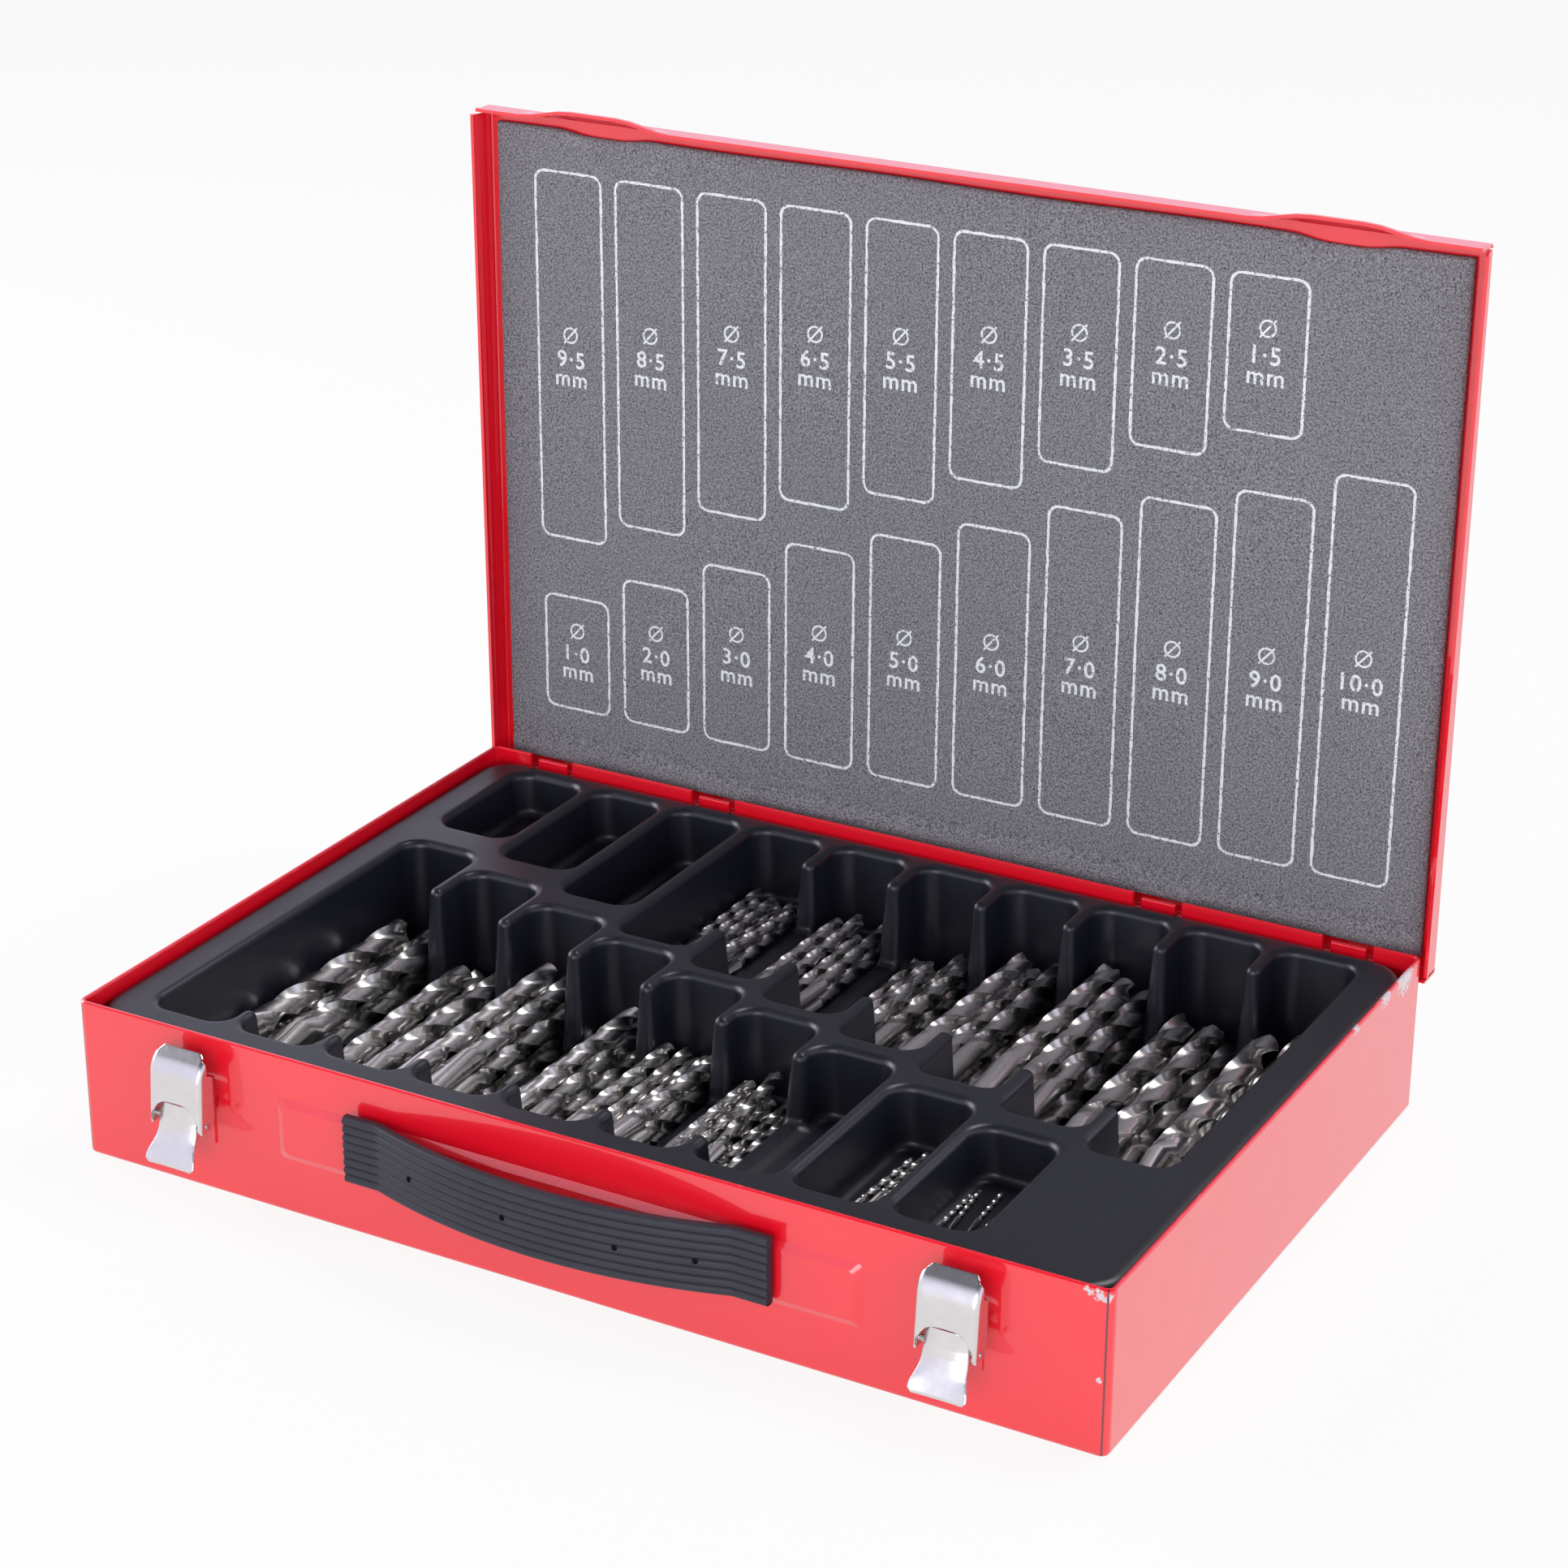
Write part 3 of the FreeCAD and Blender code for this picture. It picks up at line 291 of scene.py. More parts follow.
class EffectLibrary:
    """Builds each shared effect once and places it in materials."""

    grain_detail: float = 3.0
    grain_roughness: float = 0.7
    pit_depth: float = 0.35
    middle: float = 0.5
    cloud_detail: float = 6.0
    chip_noise_per_metre: float = 900.0
    chip_noise_detail: float = 4.0
    chip_cover: float = 0.4
    chip_sharpness: float = 12.0

    def __init__(self) -> None:
        """Build every effect group."""
        self.groups: Dict[Effect, bpy.types.NodeTree] = {
            Effect.SPECKLE: self._speckle(),
            Effect.MOTTLE: self._mottle(),
            Effect.CHIP: self._chip(),
        }

    def _group(self, effect: Effect, inputs: Sequence[Tuple[str, str, float]],
               outputs: Sequence[str]) -> Tuple[bpy.types.NodeTree, NodeMaker, object, object]:
        """Start a group with named inputs and value outputs.

        Args:
            effect: which effect it is.
            inputs: name, socket type and default of each input.
            outputs: name of each output.

        Returns:
            The group, its node maker, and the nodes where values come in and go out.
        """
        group = bpy.data.node_groups.new(effect.value, "ShaderNodeTree")
        for name, kind, default in inputs:
            made = group.interface.new_socket(name=name, in_out="INPUT", socket_type=kind)
            if kind == "NodeSocketFloat":
                made.default_value = default
        for name in outputs:
            group.interface.new_socket(name=name, in_out="OUTPUT", socket_type="NodeSocketFloat")
        maker = NodeMaker(group)
        return group, maker, maker.add("NodeGroupInput"), maker.add("NodeGroupOutput")

    def _speckle(self) -> bpy.types.NodeTree:
        """Grains of light and dark, as in cut foam or sprayed rubber.

        Returns:
            The group.
        """
        group, maker, source, sink = self._group(
            Effect.SPECKLE,
            (("Vector", "NodeSocketVector", 0.0), ("Grains per metre", "NodeSocketFloat", 1000.0),
             ("Contrast", "NodeSocketFloat", 0.5)),
            ("Mask", "Height"))
        cells = maker.add("ShaderNodeTexVoronoi", feature="F1")
        fine = maker.add("ShaderNodeTexNoise")
        fine.inputs["Detail"].default_value = self.grain_detail
        fine.inputs["Roughness"].default_value = self.grain_roughness
        for node in (cells, fine):
            maker.join(source.outputs["Vector"], node.inputs["Vector"])
            maker.join(source.outputs["Grains per metre"], node.inputs["Scale"])
        centred = maker.value("SUBTRACT", fine.outputs["Fac"], self.middle)
        swing = maker.value("MULTIPLY", centred, source.outputs["Contrast"])
        nearness = maker.value("SUBTRACT", self.middle, cells.outputs["Distance"])
        pits = maker.value("MULTIPLY", nearness, self.pit_depth)
        mask = maker.value("ADD", maker.value("ADD", swing, self.middle), pits, clamp=True)
        maker.join(mask, sink.inputs["Mask"])
        maker.join(cells.outputs["Distance"], sink.inputs["Height"])
        return group

    def _mottle(self) -> bpy.types.NodeTree:
        """Slow cloudy change over a surface.

        Returns:
            The group.
        """
        group, maker, source, sink = self._group(
            Effect.MOTTLE,
            (("Vector", "NodeSocketVector", 0.0), ("Clouds per metre", "NodeSocketFloat", 12.0),
             ("Low", "NodeSocketFloat", 0.0), ("High", "NodeSocketFloat", 1.0)),
            ("Value",))
        clouds = maker.add("ShaderNodeTexNoise")
        clouds.inputs["Detail"].default_value = self.cloud_detail
        maker.join(source.outputs["Vector"], clouds.inputs["Vector"])
        maker.join(source.outputs["Clouds per metre"], clouds.inputs["Scale"])
        span = maker.value("SUBTRACT", source.outputs["High"], source.outputs["Low"])
        above = maker.value("MULTIPLY", clouds.outputs["Fac"], span)
        maker.join(maker.value("ADD", above, source.outputs["Low"]), sink.inputs["Value"])
        return group

    def _chip(self) -> bpy.types.NodeTree:
        """A ragged patch of knocked paint round one place.

        Returns:
            The group.
        """
        group, maker, source, sink = self._group(
            Effect.CHIP,
            (("Vector", "NodeSocketVector", 0.0), ("Centre", "NodeSocketVector", 0.0),
             ("Reach", "NodeSocketFloat", 0.006), ("Cover", "NodeSocketFloat", 0.5)),
            ("Mask",))
        apart = maker.add("ShaderNodeVectorMath", operation="DISTANCE")
        maker.join(source.outputs["Vector"], apart.inputs[0])
        maker.join(source.outputs["Centre"], apart.inputs[1])
        share = maker.value("DIVIDE", apart.outputs["Value"], source.outputs["Reach"])
        nearness = maker.value("SUBTRACT", 1.0, share, clamp=True)
        noise = maker.add("ShaderNodeTexNoise")
        noise.inputs["Scale"].default_value = self.chip_noise_per_metre
        noise.inputs["Detail"].default_value = self.chip_noise_detail
        maker.join(source.outputs["Vector"], noise.inputs["Vector"])
        strength = maker.value("MULTIPLY", noise.outputs["Fac"], nearness)
        cover = maker.value("MULTIPLY", source.outputs["Cover"], self.chip_cover)
        edge = maker.value("SUBTRACT", strength, maker.value("SUBTRACT", self.middle, cover))
        maker.join(maker.value("MULTIPLY", edge, self.chip_sharpness, clamp=True), sink.inputs["Mask"])
        return group

    def use(self, maker: NodeMaker, effect: Effect, vector: object, **values: object) -> bpy.types.Node:
        """Place an effect in a material with its own values.

        Args:
            maker: adds nodes to the material.
            effect: which effect.
            vector: socket of the coordinates.
            values: value of each input, with underscores for spaces.

        Returns:
            The placed group node.
        """
        node = maker.add("ShaderNodeGroup")
        node.node_tree = self.groups[effect]
        maker.join(vector, node.inputs["Vector"])
        for key, value in values.items():
            node.inputs[key.replace("_", " ")].default_value = value
        return node


@dataclass(frozen=True)
class Finish:
    """What every finish shares: a name and the constants set on the shader itself."""

    name: str
    colour: Colour
    roughness: float = 0.4
    metallic: float = 0.0
    coat: float = 0.0
    coat_roughness: float = 0.05
    coat_ior: float = 1.5
    specular: float = 0.5

    def build(self, effects: EffectLibrary) -> bpy.types.Material:
        """Make the material: the shader's constants, then the finish's own detail.

        Args:
            effects: the shared effects.

        Returns:
            The material.
        """
        material = bpy.data.materials.new(self.name)
        material.use_nodes = True
        material.diffuse_color = (*self.colour, 1.0)
        maker = NodeMaker(material.node_tree)
        shader = material.node_tree.nodes["Principled BSDF"]
        shader.inputs["Base Color"].default_value = (*self.colour, 1.0)
        shader.inputs["Roughness"].default_value = self.roughness
        shader.inputs["Metallic"].default_value = self.metallic
        shader.inputs["Coat Weight"].default_value = self.coat
        shader.inputs["Coat Roughness"].default_value = self.coat_roughness
        shader.inputs["Coat IOR"].default_value = self.coat_ior
        shader.inputs["Specular IOR Level"].default_value = self.specular
        self.paint(Surface(maker, shader, object_coordinates(maker), effects))
        return material

    def paint(self, surface: "Surface") -> None:
        """Add the finish's own detail; each kind of finish has its own."""
        raise NotImplementedError(self.name)

    def shade(self, share: float, lift: float = 0.0) -> Colour:
        """The finish's colour, scaled and lifted.

        Args:
            share: factor on each channel.
            lift: amount added to each channel.

        Returns:
            The changed colour.
        """
        return tuple(channel * share + lift for channel in self.colour)


@dataclass(frozen=True)
class Surface:
    """A material being painted: its nodes, its shader, its coordinates and the shared effects."""

    maker: NodeMaker
    shader: bpy.types.Node
    where: object
    effects: EffectLibrary

    def effect(self, kind: Effect, output: str, **values: object) -> object:
        """Place a shared effect on the piece's own coordinates.

        Args:
            kind: which effect.
            output: name of the output wanted.
            values: value of each input, with underscores for spaces.

        Returns:
            The socket of that output.
        """
        return self.effects.use(self.maker, kind, self.where, **values).outputs[output]

    def colour(self, source: object) -> None:
        """Drive the base colour by a socket."""
        self.maker.join(source, self.shader.inputs["Base Color"])

    def drift(self, clouds_per_metre: float, middle: float, swing: float) -> None:
        """Let the roughness drift over slow clouds.

        Args:
            clouds_per_metre: how fine the clouds are.
            middle: roughness that it drifts about.
            swing: how far it drifts either way.
        """
        haze = self.effect(Effect.MOTTLE, "Value", Clouds_per_metre=clouds_per_metre, Low=middle - swing,
                           High=middle + swing)
        self.maker.join(haze, self.shader.inputs["Roughness"])

    def bump(self, height: object, depth: float) -> None:
        """Drive the shader's normal by a height.

        Args:
            height: socket of the height, from 0 to 1.
            depth: how far a height of 1 stands out, in metres.
        """
        node = self.maker.add("ShaderNodeBump")
        node.inputs["Distance"].default_value = depth
        self.maker.join(height, node.inputs["Height"])
        self.maker.join(node.outputs["Normal"], self.shader.inputs["Normal"])


@dataclass(frozen=True)
class Enamel(Finish):
    """Glossy sprayed enamel on steel, with knocks where corners were bumped."""

    shadow: float = 0.93
    clouds_per_metre: float = 14.0
    primer: Colour = (0.60, 0.55, 0.57)
    chips: Tuple[Tuple[Point, float, float], ...] = ()
    # Painted shade: a darker red for a thin line on the front face beside each corner, standing in for the
    # shade in the seam's gap.
    seam: Colour = (0.16, 0.002, 0.006)
    seam_at: float = 0.1833
    seam_half: float = 0.0003
    seam_front: float = -0.1233
    gloss_per_metre: float = 60.0
    gloss_swing: float = 0.05
    peel_per_metre: float = 190.0
    peel_depth: float = 0.00002

    def paint(self, surface: Surface) -> None:
        """Cloudy red under a clear gloss, slight orange peel, chips to pale primer, and a thin line of
        painted shade where each front corner seam has its gap.

        Args:
            surface: the material being painted.
        """
        maker = surface.maker
        clouds = surface.effect(Effect.MOTTLE, "Value", Clouds_per_metre=self.clouds_per_metre)
        colour = maker.mix(clouds, self.shade(self.shadow), self.colour)
        for centre, reach, cover in self.chips:
            chip = surface.effect(Effect.CHIP, "Mask", Centre=centre, Reach=reach, Cover=cover)
            colour = maker.mix(chip, colour, self.primer)
        # Painted shade: a thin dark line near each front corner, where the seam's gap would hold shade.
        split = maker.add("ShaderNodeSeparateXYZ")
        maker.join(surface.where, split.inputs[0])
        aside = maker.value("ABSOLUTE", split.outputs["X"])
        off = maker.value("ABSOLUTE", maker.value("SUBTRACT", aside, self.seam_at))
        line = maker.value("MULTIPLY", maker.value("LESS_THAN", off, self.seam_half),
                           maker.value("LESS_THAN", split.outputs["Y"], self.seam_front))
        surface.colour(maker.mix(line, colour, self.seam))
        surface.drift(self.gloss_per_metre, self.roughness, self.gloss_swing)
        peel = surface.effect(Effect.MOTTLE, "Value", Clouds_per_metre=self.peel_per_metre)
        surface.bump(peel, self.peel_depth)


@dataclass(frozen=True)
class BareSteel(Finish):
    """Plated or polished steel with faint handling marks."""

    haze: float = 0.08
    marks_per_metre: float = 220.0
    dent_depth: float = 0.00003
    tint: float = 0.88

    def paint(self, surface: Surface) -> None:
        """Steel whose shine and tone drift a little over the surface.

        Args:
            surface: the material being painted.
        """
        tone = surface.effect(Effect.MOTTLE, "Value", Clouds_per_metre=self.marks_per_metre)
        surface.colour(surface.maker.mix(tone, self.shade(self.tint), self.colour))
        surface.drift(self.marks_per_metre * 2, self.roughness, self.haze)
        dents = surface.effect(Effect.MOTTLE, "Value", Clouds_per_metre=self.marks_per_metre / 2)
        surface.bump(dents, self.dent_depth)


@dataclass(frozen=True)
class MouldedPlastic(Finish):
    """Drawn black plastic with a soft satin skin."""

    dust_per_metre: float = 25.0
    dust: float = 1.35
    dust_lift: float = 0.002
    skin_per_metre: float = 45.0
    skin_swing: float = 0.07
    grains_per_metre: float = 2200.0
    grain_contrast: float = 1.0
    grain_depth: float = 0.00001

    def paint(self, surface: Surface) -> None:
        """Satin skin, a little dusty, with a very fine grain.

        Args:
            surface: the material being painted.
        """
        tone = surface.effect(Effect.MOTTLE, "Value", Clouds_per_metre=self.dust_per_metre)
        surface.colour(surface.maker.mix(tone, self.colour, self.shade(self.dust, self.dust_lift)))
        surface.drift(self.skin_per_metre, self.roughness, self.skin_swing)
        grain = surface.effect(Effect.SPECKLE, "Mask", Grains_per_metre=self.grains_per_metre,
                               Contrast=self.grain_contrast)
        surface.bump(grain, self.grain_depth)


@dataclass(frozen=True)
class CutFoam(Finish):
    """Grey speckled foam with a torn open-celled face."""

    light: Colour = (0.43, 0.428, 0.452)
    grains_per_metre: float = 1400.0
    grain_contrast: float = 2.8
    clouds_per_metre: float = 18.0
    cloud_low: float = 0.9
    cloud_high: float = 1.1
    cell_depth: float = 0.0004

    def paint(self, surface: Surface) -> None:
        """Light and dark grains over cloudy grey.

        Args:
            surface: the material being painted.
        """
        grains = surface.effect(Effect.SPECKLE, "Mask", Grains_per_metre=self.grains_per_metre,
                                Contrast=self.grain_contrast)
        clouds = surface.effect(Effect.MOTTLE, "Value", Clouds_per_metre=self.clouds_per_metre,
                                Low=self.cloud_low, High=self.cloud_high)
        mask = surface.maker.value("MULTIPLY", grains, clouds, clamp=True)
        surface.colour(surface.maker.mix(mask, self.colour, self.light))
        surface.bump(grains, self.cell_depth)


@dataclass(frozen=True)
class PrintedInk(Finish):
    """White ink rubbed on foam, broken where the foam's cells dip."""

    ground: Colour = (0.2, 0.19, 0.21)
    grains_per_metre: float = 1100.0
    grain_contrast: float = 3.4
    bare_below: float = 0.03
    edge_sharpness: float = 4.5
    cell_depth: float = 0.0003

    def paint(self, surface: Surface) -> None:
        """White with grains of the foam showing through.

        Args:
            surface: the material being painted.
        """
        maker = surface.maker
        grains = surface.effect(Effect.SPECKLE, "Mask", Grains_per_metre=self.grains_per_metre,
                                Contrast=self.grain_contrast)
        above = maker.value("SUBTRACT", grains, self.bare_below)
        mask = maker.value("MULTIPLY", above, self.edge_sharpness, clamp=True)
        surface.colour(maker.mix(mask, self.ground, self.colour))
        surface.bump(grains, self.cell_depth)


@dataclass(frozen=True)
class Rubber(Finish):
    """Dark grip rubber with a pale bloom."""

    bloom_per_metre: float = 90.0
    bloom: float = 1.8
    bloom_lift: float = 0.004
    grains_per_metre: float = 1600.0
    grain_contrast: float = 1.5
    grain_depth: float = 0.00005

    def paint(self, surface: Surface) -> None:
        """Matt rubber with fine grain and cloudy bloom.

        Args:
            surface: the material being painted.
        """
        tone = surface.effect(Effect.MOTTLE, "Value", Clouds_per_metre=self.bloom_per_metre)
        surface.colour(surface.maker.mix(tone, self.colour, self.shade(self.bloom, self.bloom_lift)))
        grain = surface.effect(Effect.SPECKLE, "Height", Grains_per_metre=self.grains_per_metre,
                               Contrast=self.grain_contrast)
        surface.bump(grain, self.grain_depth)


RED = (0.86, 0.002, 0.016)
CORNER_CHIPS = (
    ((0.1775, -0.1245, 0.0545), 0.0042, 0.50),
    ((0.1808, -0.1245, 0.0538), 0.0042, 0.60),
    ((0.1838, -0.1242, 0.0532), 0.0036, 0.65),
    ((0.1850, 0.0900, 0.0560), 0.012, 0.45),
    ((0.1850, 0.1080, 0.0560), 0.016, 0.55),
    ((0.1850, 0.0640, 0.0560), 0.008, 0.4),
    ((0.1817, -0.1245, 0.0260), 0.0024, 0.5),
)


class Palette:
    """Every material of the case, each made once."""

    def __init__(self) -> None:
        """Build the effects and then the materials."""
        effects = EffectLibrary()
        self.enamel = Enamel("red_enamel", RED, roughness=0.32, coat=1.0, coat_roughness=0.03, coat_ior=1.7,
                             chips=CORNER_CHIPS).build(effects)
        self.lid_enamel = Enamel("red_enamel_lid", RED, roughness=0.32, coat=1.0, coat_roughness=0.03,
                                 coat_ior=1.7).build(effects)
        self.latch_steel = BareSteel("latch_steel", (0.77, 0.74, 0.74), roughness=0.26, metallic=1.0,
                                     haze=0.05).build(effects)
        self.pin_steel = BareSteel("pin_steel", (0.62, 0.61, 0.60), roughness=0.28,
                                   metallic=1.0).build(effects)
        self.drill_steel = BareSteel("drill_steel", (0.78, 0.76, 0.74), roughness=0.29, metallic=1.0,
                                     haze=0.05, dent_depth=0.00001, tint=0.8).build(effects)
        self.tray_plastic = MouldedPlastic("tray_plastic", (0.0065, 0.007, 0.0125),
                                           roughness=0.36, specular=0.58).build(effects)
        self.foam = CutFoam("grey_foam", (0.066, 0.065, 0.073), roughness=0.9, specular=0.25).build(effects)
        self.ink = PrintedInk("white_ink", (0.90, 0.92, 0.94), roughness=0.75, specular=0.3).build(effects)
        self.rubber = Rubber("grip_rubber", (0.013, 0.013, 0.021), roughness=0.55,
                             specular=0.45).build(effects)


# ---------------------------------------------------------------- sheet metal
@dataclass
class SheetMetal:
    """Dresses the folded steel, latch and hinge nodes that come from the frame."""

    palette: Palette
    pin_parts: Tuple[str, ...] = ("lever_pin", "hook_pin", "rivets")
    plain_nodes: Tuple[str, ...] = ("hinge_wire", "handle_strap", "handle_rivets")
    plate_rounding: float = 0.28
    rounding_steps: int = 3
    sharp_from: float = 32.0
    weld_reach: float = 0.01

    def dress(self, node: str, material: bpy.types.Material) -> bpy.types.Object:
        """Give a node of the frame its material.

        Args:
            node: name of the node.
            material: its finish.

        Returns:
            The node's object.
        """
        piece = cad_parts[node]
        piece.data.materials.clear()
        piece.data.materials.append(material)
        return piece

    def soften(self, piece: bpy.types.Object, width: float) -> None:
        """Round a node's sharp edges with modifiers only.

        Args:
            piece: the node's object.
            width: width of the rounding in millimetres.
        """
        weld = piece.modifiers.new("weld", "WELD")
        weld.merge_threshold = self.weld_reach * MM
        bevel = piece.modifiers.new("edge", "BEVEL")
        bevel.width = width * MM
        bevel.segments = self.rounding_steps
        bevel.limit_method = "ANGLE"
        bevel.angle_limit = math.radians(self.sharp_from)
        bevel.harden_normals = True

    def build(self) -> None:
        """Dress every sheet-metal node; the latch plates are painted with the box they are riveted to."""
        self.dress("base_shell", self.palette.enamel)
        self.dress("lid_shell", self.palette.lid_enamel)
        for node in self.plain_nodes:
            self.dress(node, self.palette.pin_steel)
        for side in ("left", "right"):
            plate = self.dress(f"latch_{side}_plate", self.palette.lid_enamel)
            self.soften(plate, self.plate_rounding)
            for part in self.pin_parts:
                self.dress(f"latch_{side}_{part}", self.palette.pin_steel)
        LOG.info("sheet metal")


# ---------------------------------------------------------------- the moulded tray
def rounded_max(first: np.ndarray, second: np.ndarray, radius: float) -> np.ndarray:
    """Larger of two distances, with the edge where they meet rounded.

    Args:
        first: distances from one solid.
        second: distances from the other.
        radius: radius of the rounding.

    Returns:
        The larger distance at each point.
    """
    a = first + radius
    b = second + radius
    outside = np.sqrt(np.maximum(a, 0) ** 2 + np.maximum(b, 0) ** 2)
    return np.minimum(np.maximum(a, b), 0) + outside - radius


def rounded_rectangle(x: np.ndarray, y: np.ndarray, half_x: np.ndarray, half_y: np.ndarray,
                      radius: float) -> np.ndarray:
    """Distance in plan from a rectangle with rounded corners, negative inside.

    Args:
        x: place of each point across.
        y: place of each point along.
        half_x: half the rectangle's width at each point.
        half_y: half its length at each point.
        radius: radius of its corners.

    Returns:
        One distance per point.
    """
    return rounded_max(np.abs(x) - half_x, np.abs(y) - half_y, radius)


def surface_net(values: np.ndarray, origin: np.ndarray, step: float) -> Tuple[np.ndarray, np.ndarray]:
    """Skin the zero level of a block of sampled distances.

    Args:
        values: distances, negative inside, on a regular block of points.
        origin: place of the block's first point.
        step: spacing of the points.

    Returns:
        The skin's points and its quads.
    """
    inside = values < 0
    shape = np.array(values.shape) - 1
    total = np.zeros((*shape, 3))
    count = np.zeros(shape)
    corner = [(i, j, k) for i in (0, 1) for j in (0, 1) for k in (0, 1)]
    edges = [(a, b) for a in corner for b in corner
             if a < b and sum(abs(p - q) for p, q in zip(a, b)) == 1]
    for a, b in edges:
        part_a = tuple(slice(p, p + n) for p, n in zip(a, shape))
        part_b = tuple(slice(p, p + n) for p, n in zip(b, shape))
        crossing = inside[part_a] != inside[part_b]
        va = values[part_a][crossing]
        share = va / (va - values[part_b][crossing])
        spot = np.array(a)[None, :] + share[:, None] * (np.array(b) - np.array(a))[None, :]
        total[crossing] += spot
        count[crossing] += 1
    used = count > 0
    number = np.full(shape, -1)
    number[used] = np.arange(int(used.sum()))
    cells = np.argwhere(used)
    points = (cells + total[used] / count[used][:, None]) * step + origin
    quads = []
    for axis in range(3):
        one, two = [other for other in range(3) if other != axis]
        low = [slice(None)] * 3
        high = [slice(None)] * 3
        low[axis] = slice(0, -1)
        high[axis] = slice(1, None)
        change = inside[tuple(low)] != inside[tuple(high)]
        start_inside = inside[tuple(low)]
        where = np.argwhere(change)
        keep = np.all(where[:, [one, two]] > 0, axis=1) & np.all(
            where[:, [one, two]] < (np.array(values.shape) - 1)[[one, two]], axis=1)
        where = where[keep]
        flip = start_inside[tuple(where.T)]
        ring = []
        for d_one, d_two in ((-1, -1), (0, -1), (0, 0), (-1, 0)):
            spot = where.copy()
            spot[:, one] += d_one
            spot[:, two] += d_two
            ring.append(number[tuple(spot.T)])
        quad = np.stack(ring, axis=1)
        if axis == 1:
            flip = ~flip
        quad[~flip] = quad[~flip][:, ::-1]
        quads.append(quad)
    return points, np.concatenate(quads)


def skin_solid(name: str, distance: Callable[[np.ndarray], np.ndarray], low: Point, high: Point,
               step: float, shift: Point = (0.0, 0.0, 0.0)) -> bpy.types.Object:
    """Skin a solid given by its distances, settle the skin on it and shade it by the true slopes.

    Args:
        name: name of the piece.
        distance: gives the distance of points from the solid, negative inside.
        low: lowest corner of the block that holds the solid.
        high: highest corner of that block.
        step: spacing of the samples.
        shift: where the solid's own origin stands on the case.

    Returns:
        The skinned piece.
    """
    nudge, rounds, least_slope = 0.02, 2, 0.5
    axes = [np.arange(a, b, step) for a, b in zip(low, high)]
    spots = np.stack(np.meshgrid(*axes, indexing="ij"), axis=-1)
    values = distance(spots.reshape(-1, 3)).reshape(spots.shape[:3])
    points, quads = surface_net(values, np.array(low), step)

    def slopes(where: np.ndarray) -> np.ndarray:
        """Direction in which the distance grows at each point.

        Args:
            where: points, one row each.

        Returns:
            One direction per point, as long as the distance grows fast.
        """
        shifts = np.eye(3) * nudge
        return np.stack([(distance(where + n) - distance(where - n)) / (2 * nudge) for n in shifts], axis=1)

    for _ in range(rounds):
        slope = slopes(points)
        length = np.maximum((slope ** 2).sum(axis=1), least_slope ** 2)
        move = -distance(points)[:, None] * slope / length[:, None]
        points = points + np.clip(move, -step, step)
    slope = slopes(points)
    slope /= np.maximum(np.linalg.norm(slope, axis=1), 1e-6)[:, None]
    piece = new_object(name, points + np.array(shift), quads)
    piece.data.normals_split_custom_set_from_vertices(slope.tolist())
    return piece


@dataclass
class Pocket:
    """One pocket of the tray: bit size, middle, rim start and end, floor height."""

    size: float
    x: float
    start: float
    end: float
    floor: float


@dataclass
class TrayPlan:
    """Where every pocket and finger gap of the tray lies, in millimetres."""

    pitch: float = 34.0
    first_x: float = -153.0
    rim_z: float = 52.5
    rim_width: float = 29.0
    floor_width: float = 25.4
    corner: float = 7.0
    end_draft: float = 1.2
    front_y: float = -108.0
    back_y: float = 114.0
    front_length: float = 150.5
    row_step: float = 11.2
    back_lengths: Tuple[float, ...] = (55.0, 67.0, 81.5, 98.9, 108.9, 119.0, 129.0, 139.1, 149.1, 159.2)
    deep_floor: float = 9.5
    floors: Dict[float, float] = field(default_factory=lambda: {
        1.0: 36.0, 1.5: 34.5, 2.0: 33.0, 2.5: 31.0, 3.0: 30.0, 3.5: 27.0, 4.0: 25.0, 4.5: 21.0, 5.0: 20.0,
        5.5: 17.0})
    stub: float = 13.0
    back_edge: float = 93.8
    back_stub: float = 18.5
    setback: float = 21.5
    setback_step: float = 2.1
    front_gaps: int = 6
    back_first_gap: int = 3
    gap_rise: float = 1.5

    def front(self) -> List[Pocket]:
        """The pockets of the front row, left to right.

        Returns:
            One pocket for each size of the row.
        """
        return [Pocket(size, self.first_x + self.pitch * i, self.front_y,
                       self.front_y + self.front_length - self.row_step * i,
                       self.floors.get(size, self.deep_floor)) for i, size in enumerate(SIZES.front_row)]

    def back(self) -> List[Pocket]:
        """The pockets of the back row, left to right.

        Returns:
            One pocket for each size of the row.
        """
        return [Pocket(size, self.first_x + self.pitch * i, self.back_y - length, self.back_y,
                       self.floors.get(size, self.deep_floor))
                for i, (size, length) in enumerate(zip(SIZES.back_row, self.back_lengths))]

    def gaps(self) -> List[Tuple[float, float, float, float]]:
        """Finger gaps: middle of the divider, start, end and height of its lowered top.

        Returns:
            Every gap, those of the front row first.
        """
        front, back = self.front(), self.back()
        found = []
        for i in range(self.front_gaps):
            one, two = front[i], front[i + 1]
            found.append(((one.x + two.x) / 2, self.front_y + self.stub,
                          two.end - self.setback + self.setback_step * i,
                          max(one.floor, two.floor) + self.gap_rise))
        for i in range(self.back_first_gap, len(back) - 1):
            one, two = back[i], back[i + 1]
            found.append(((one.x + two.x) / 2, one.start + self.back_stub, self.back_edge,
                          max(one.floor, two.floor) + self.gap_rise))
        return found


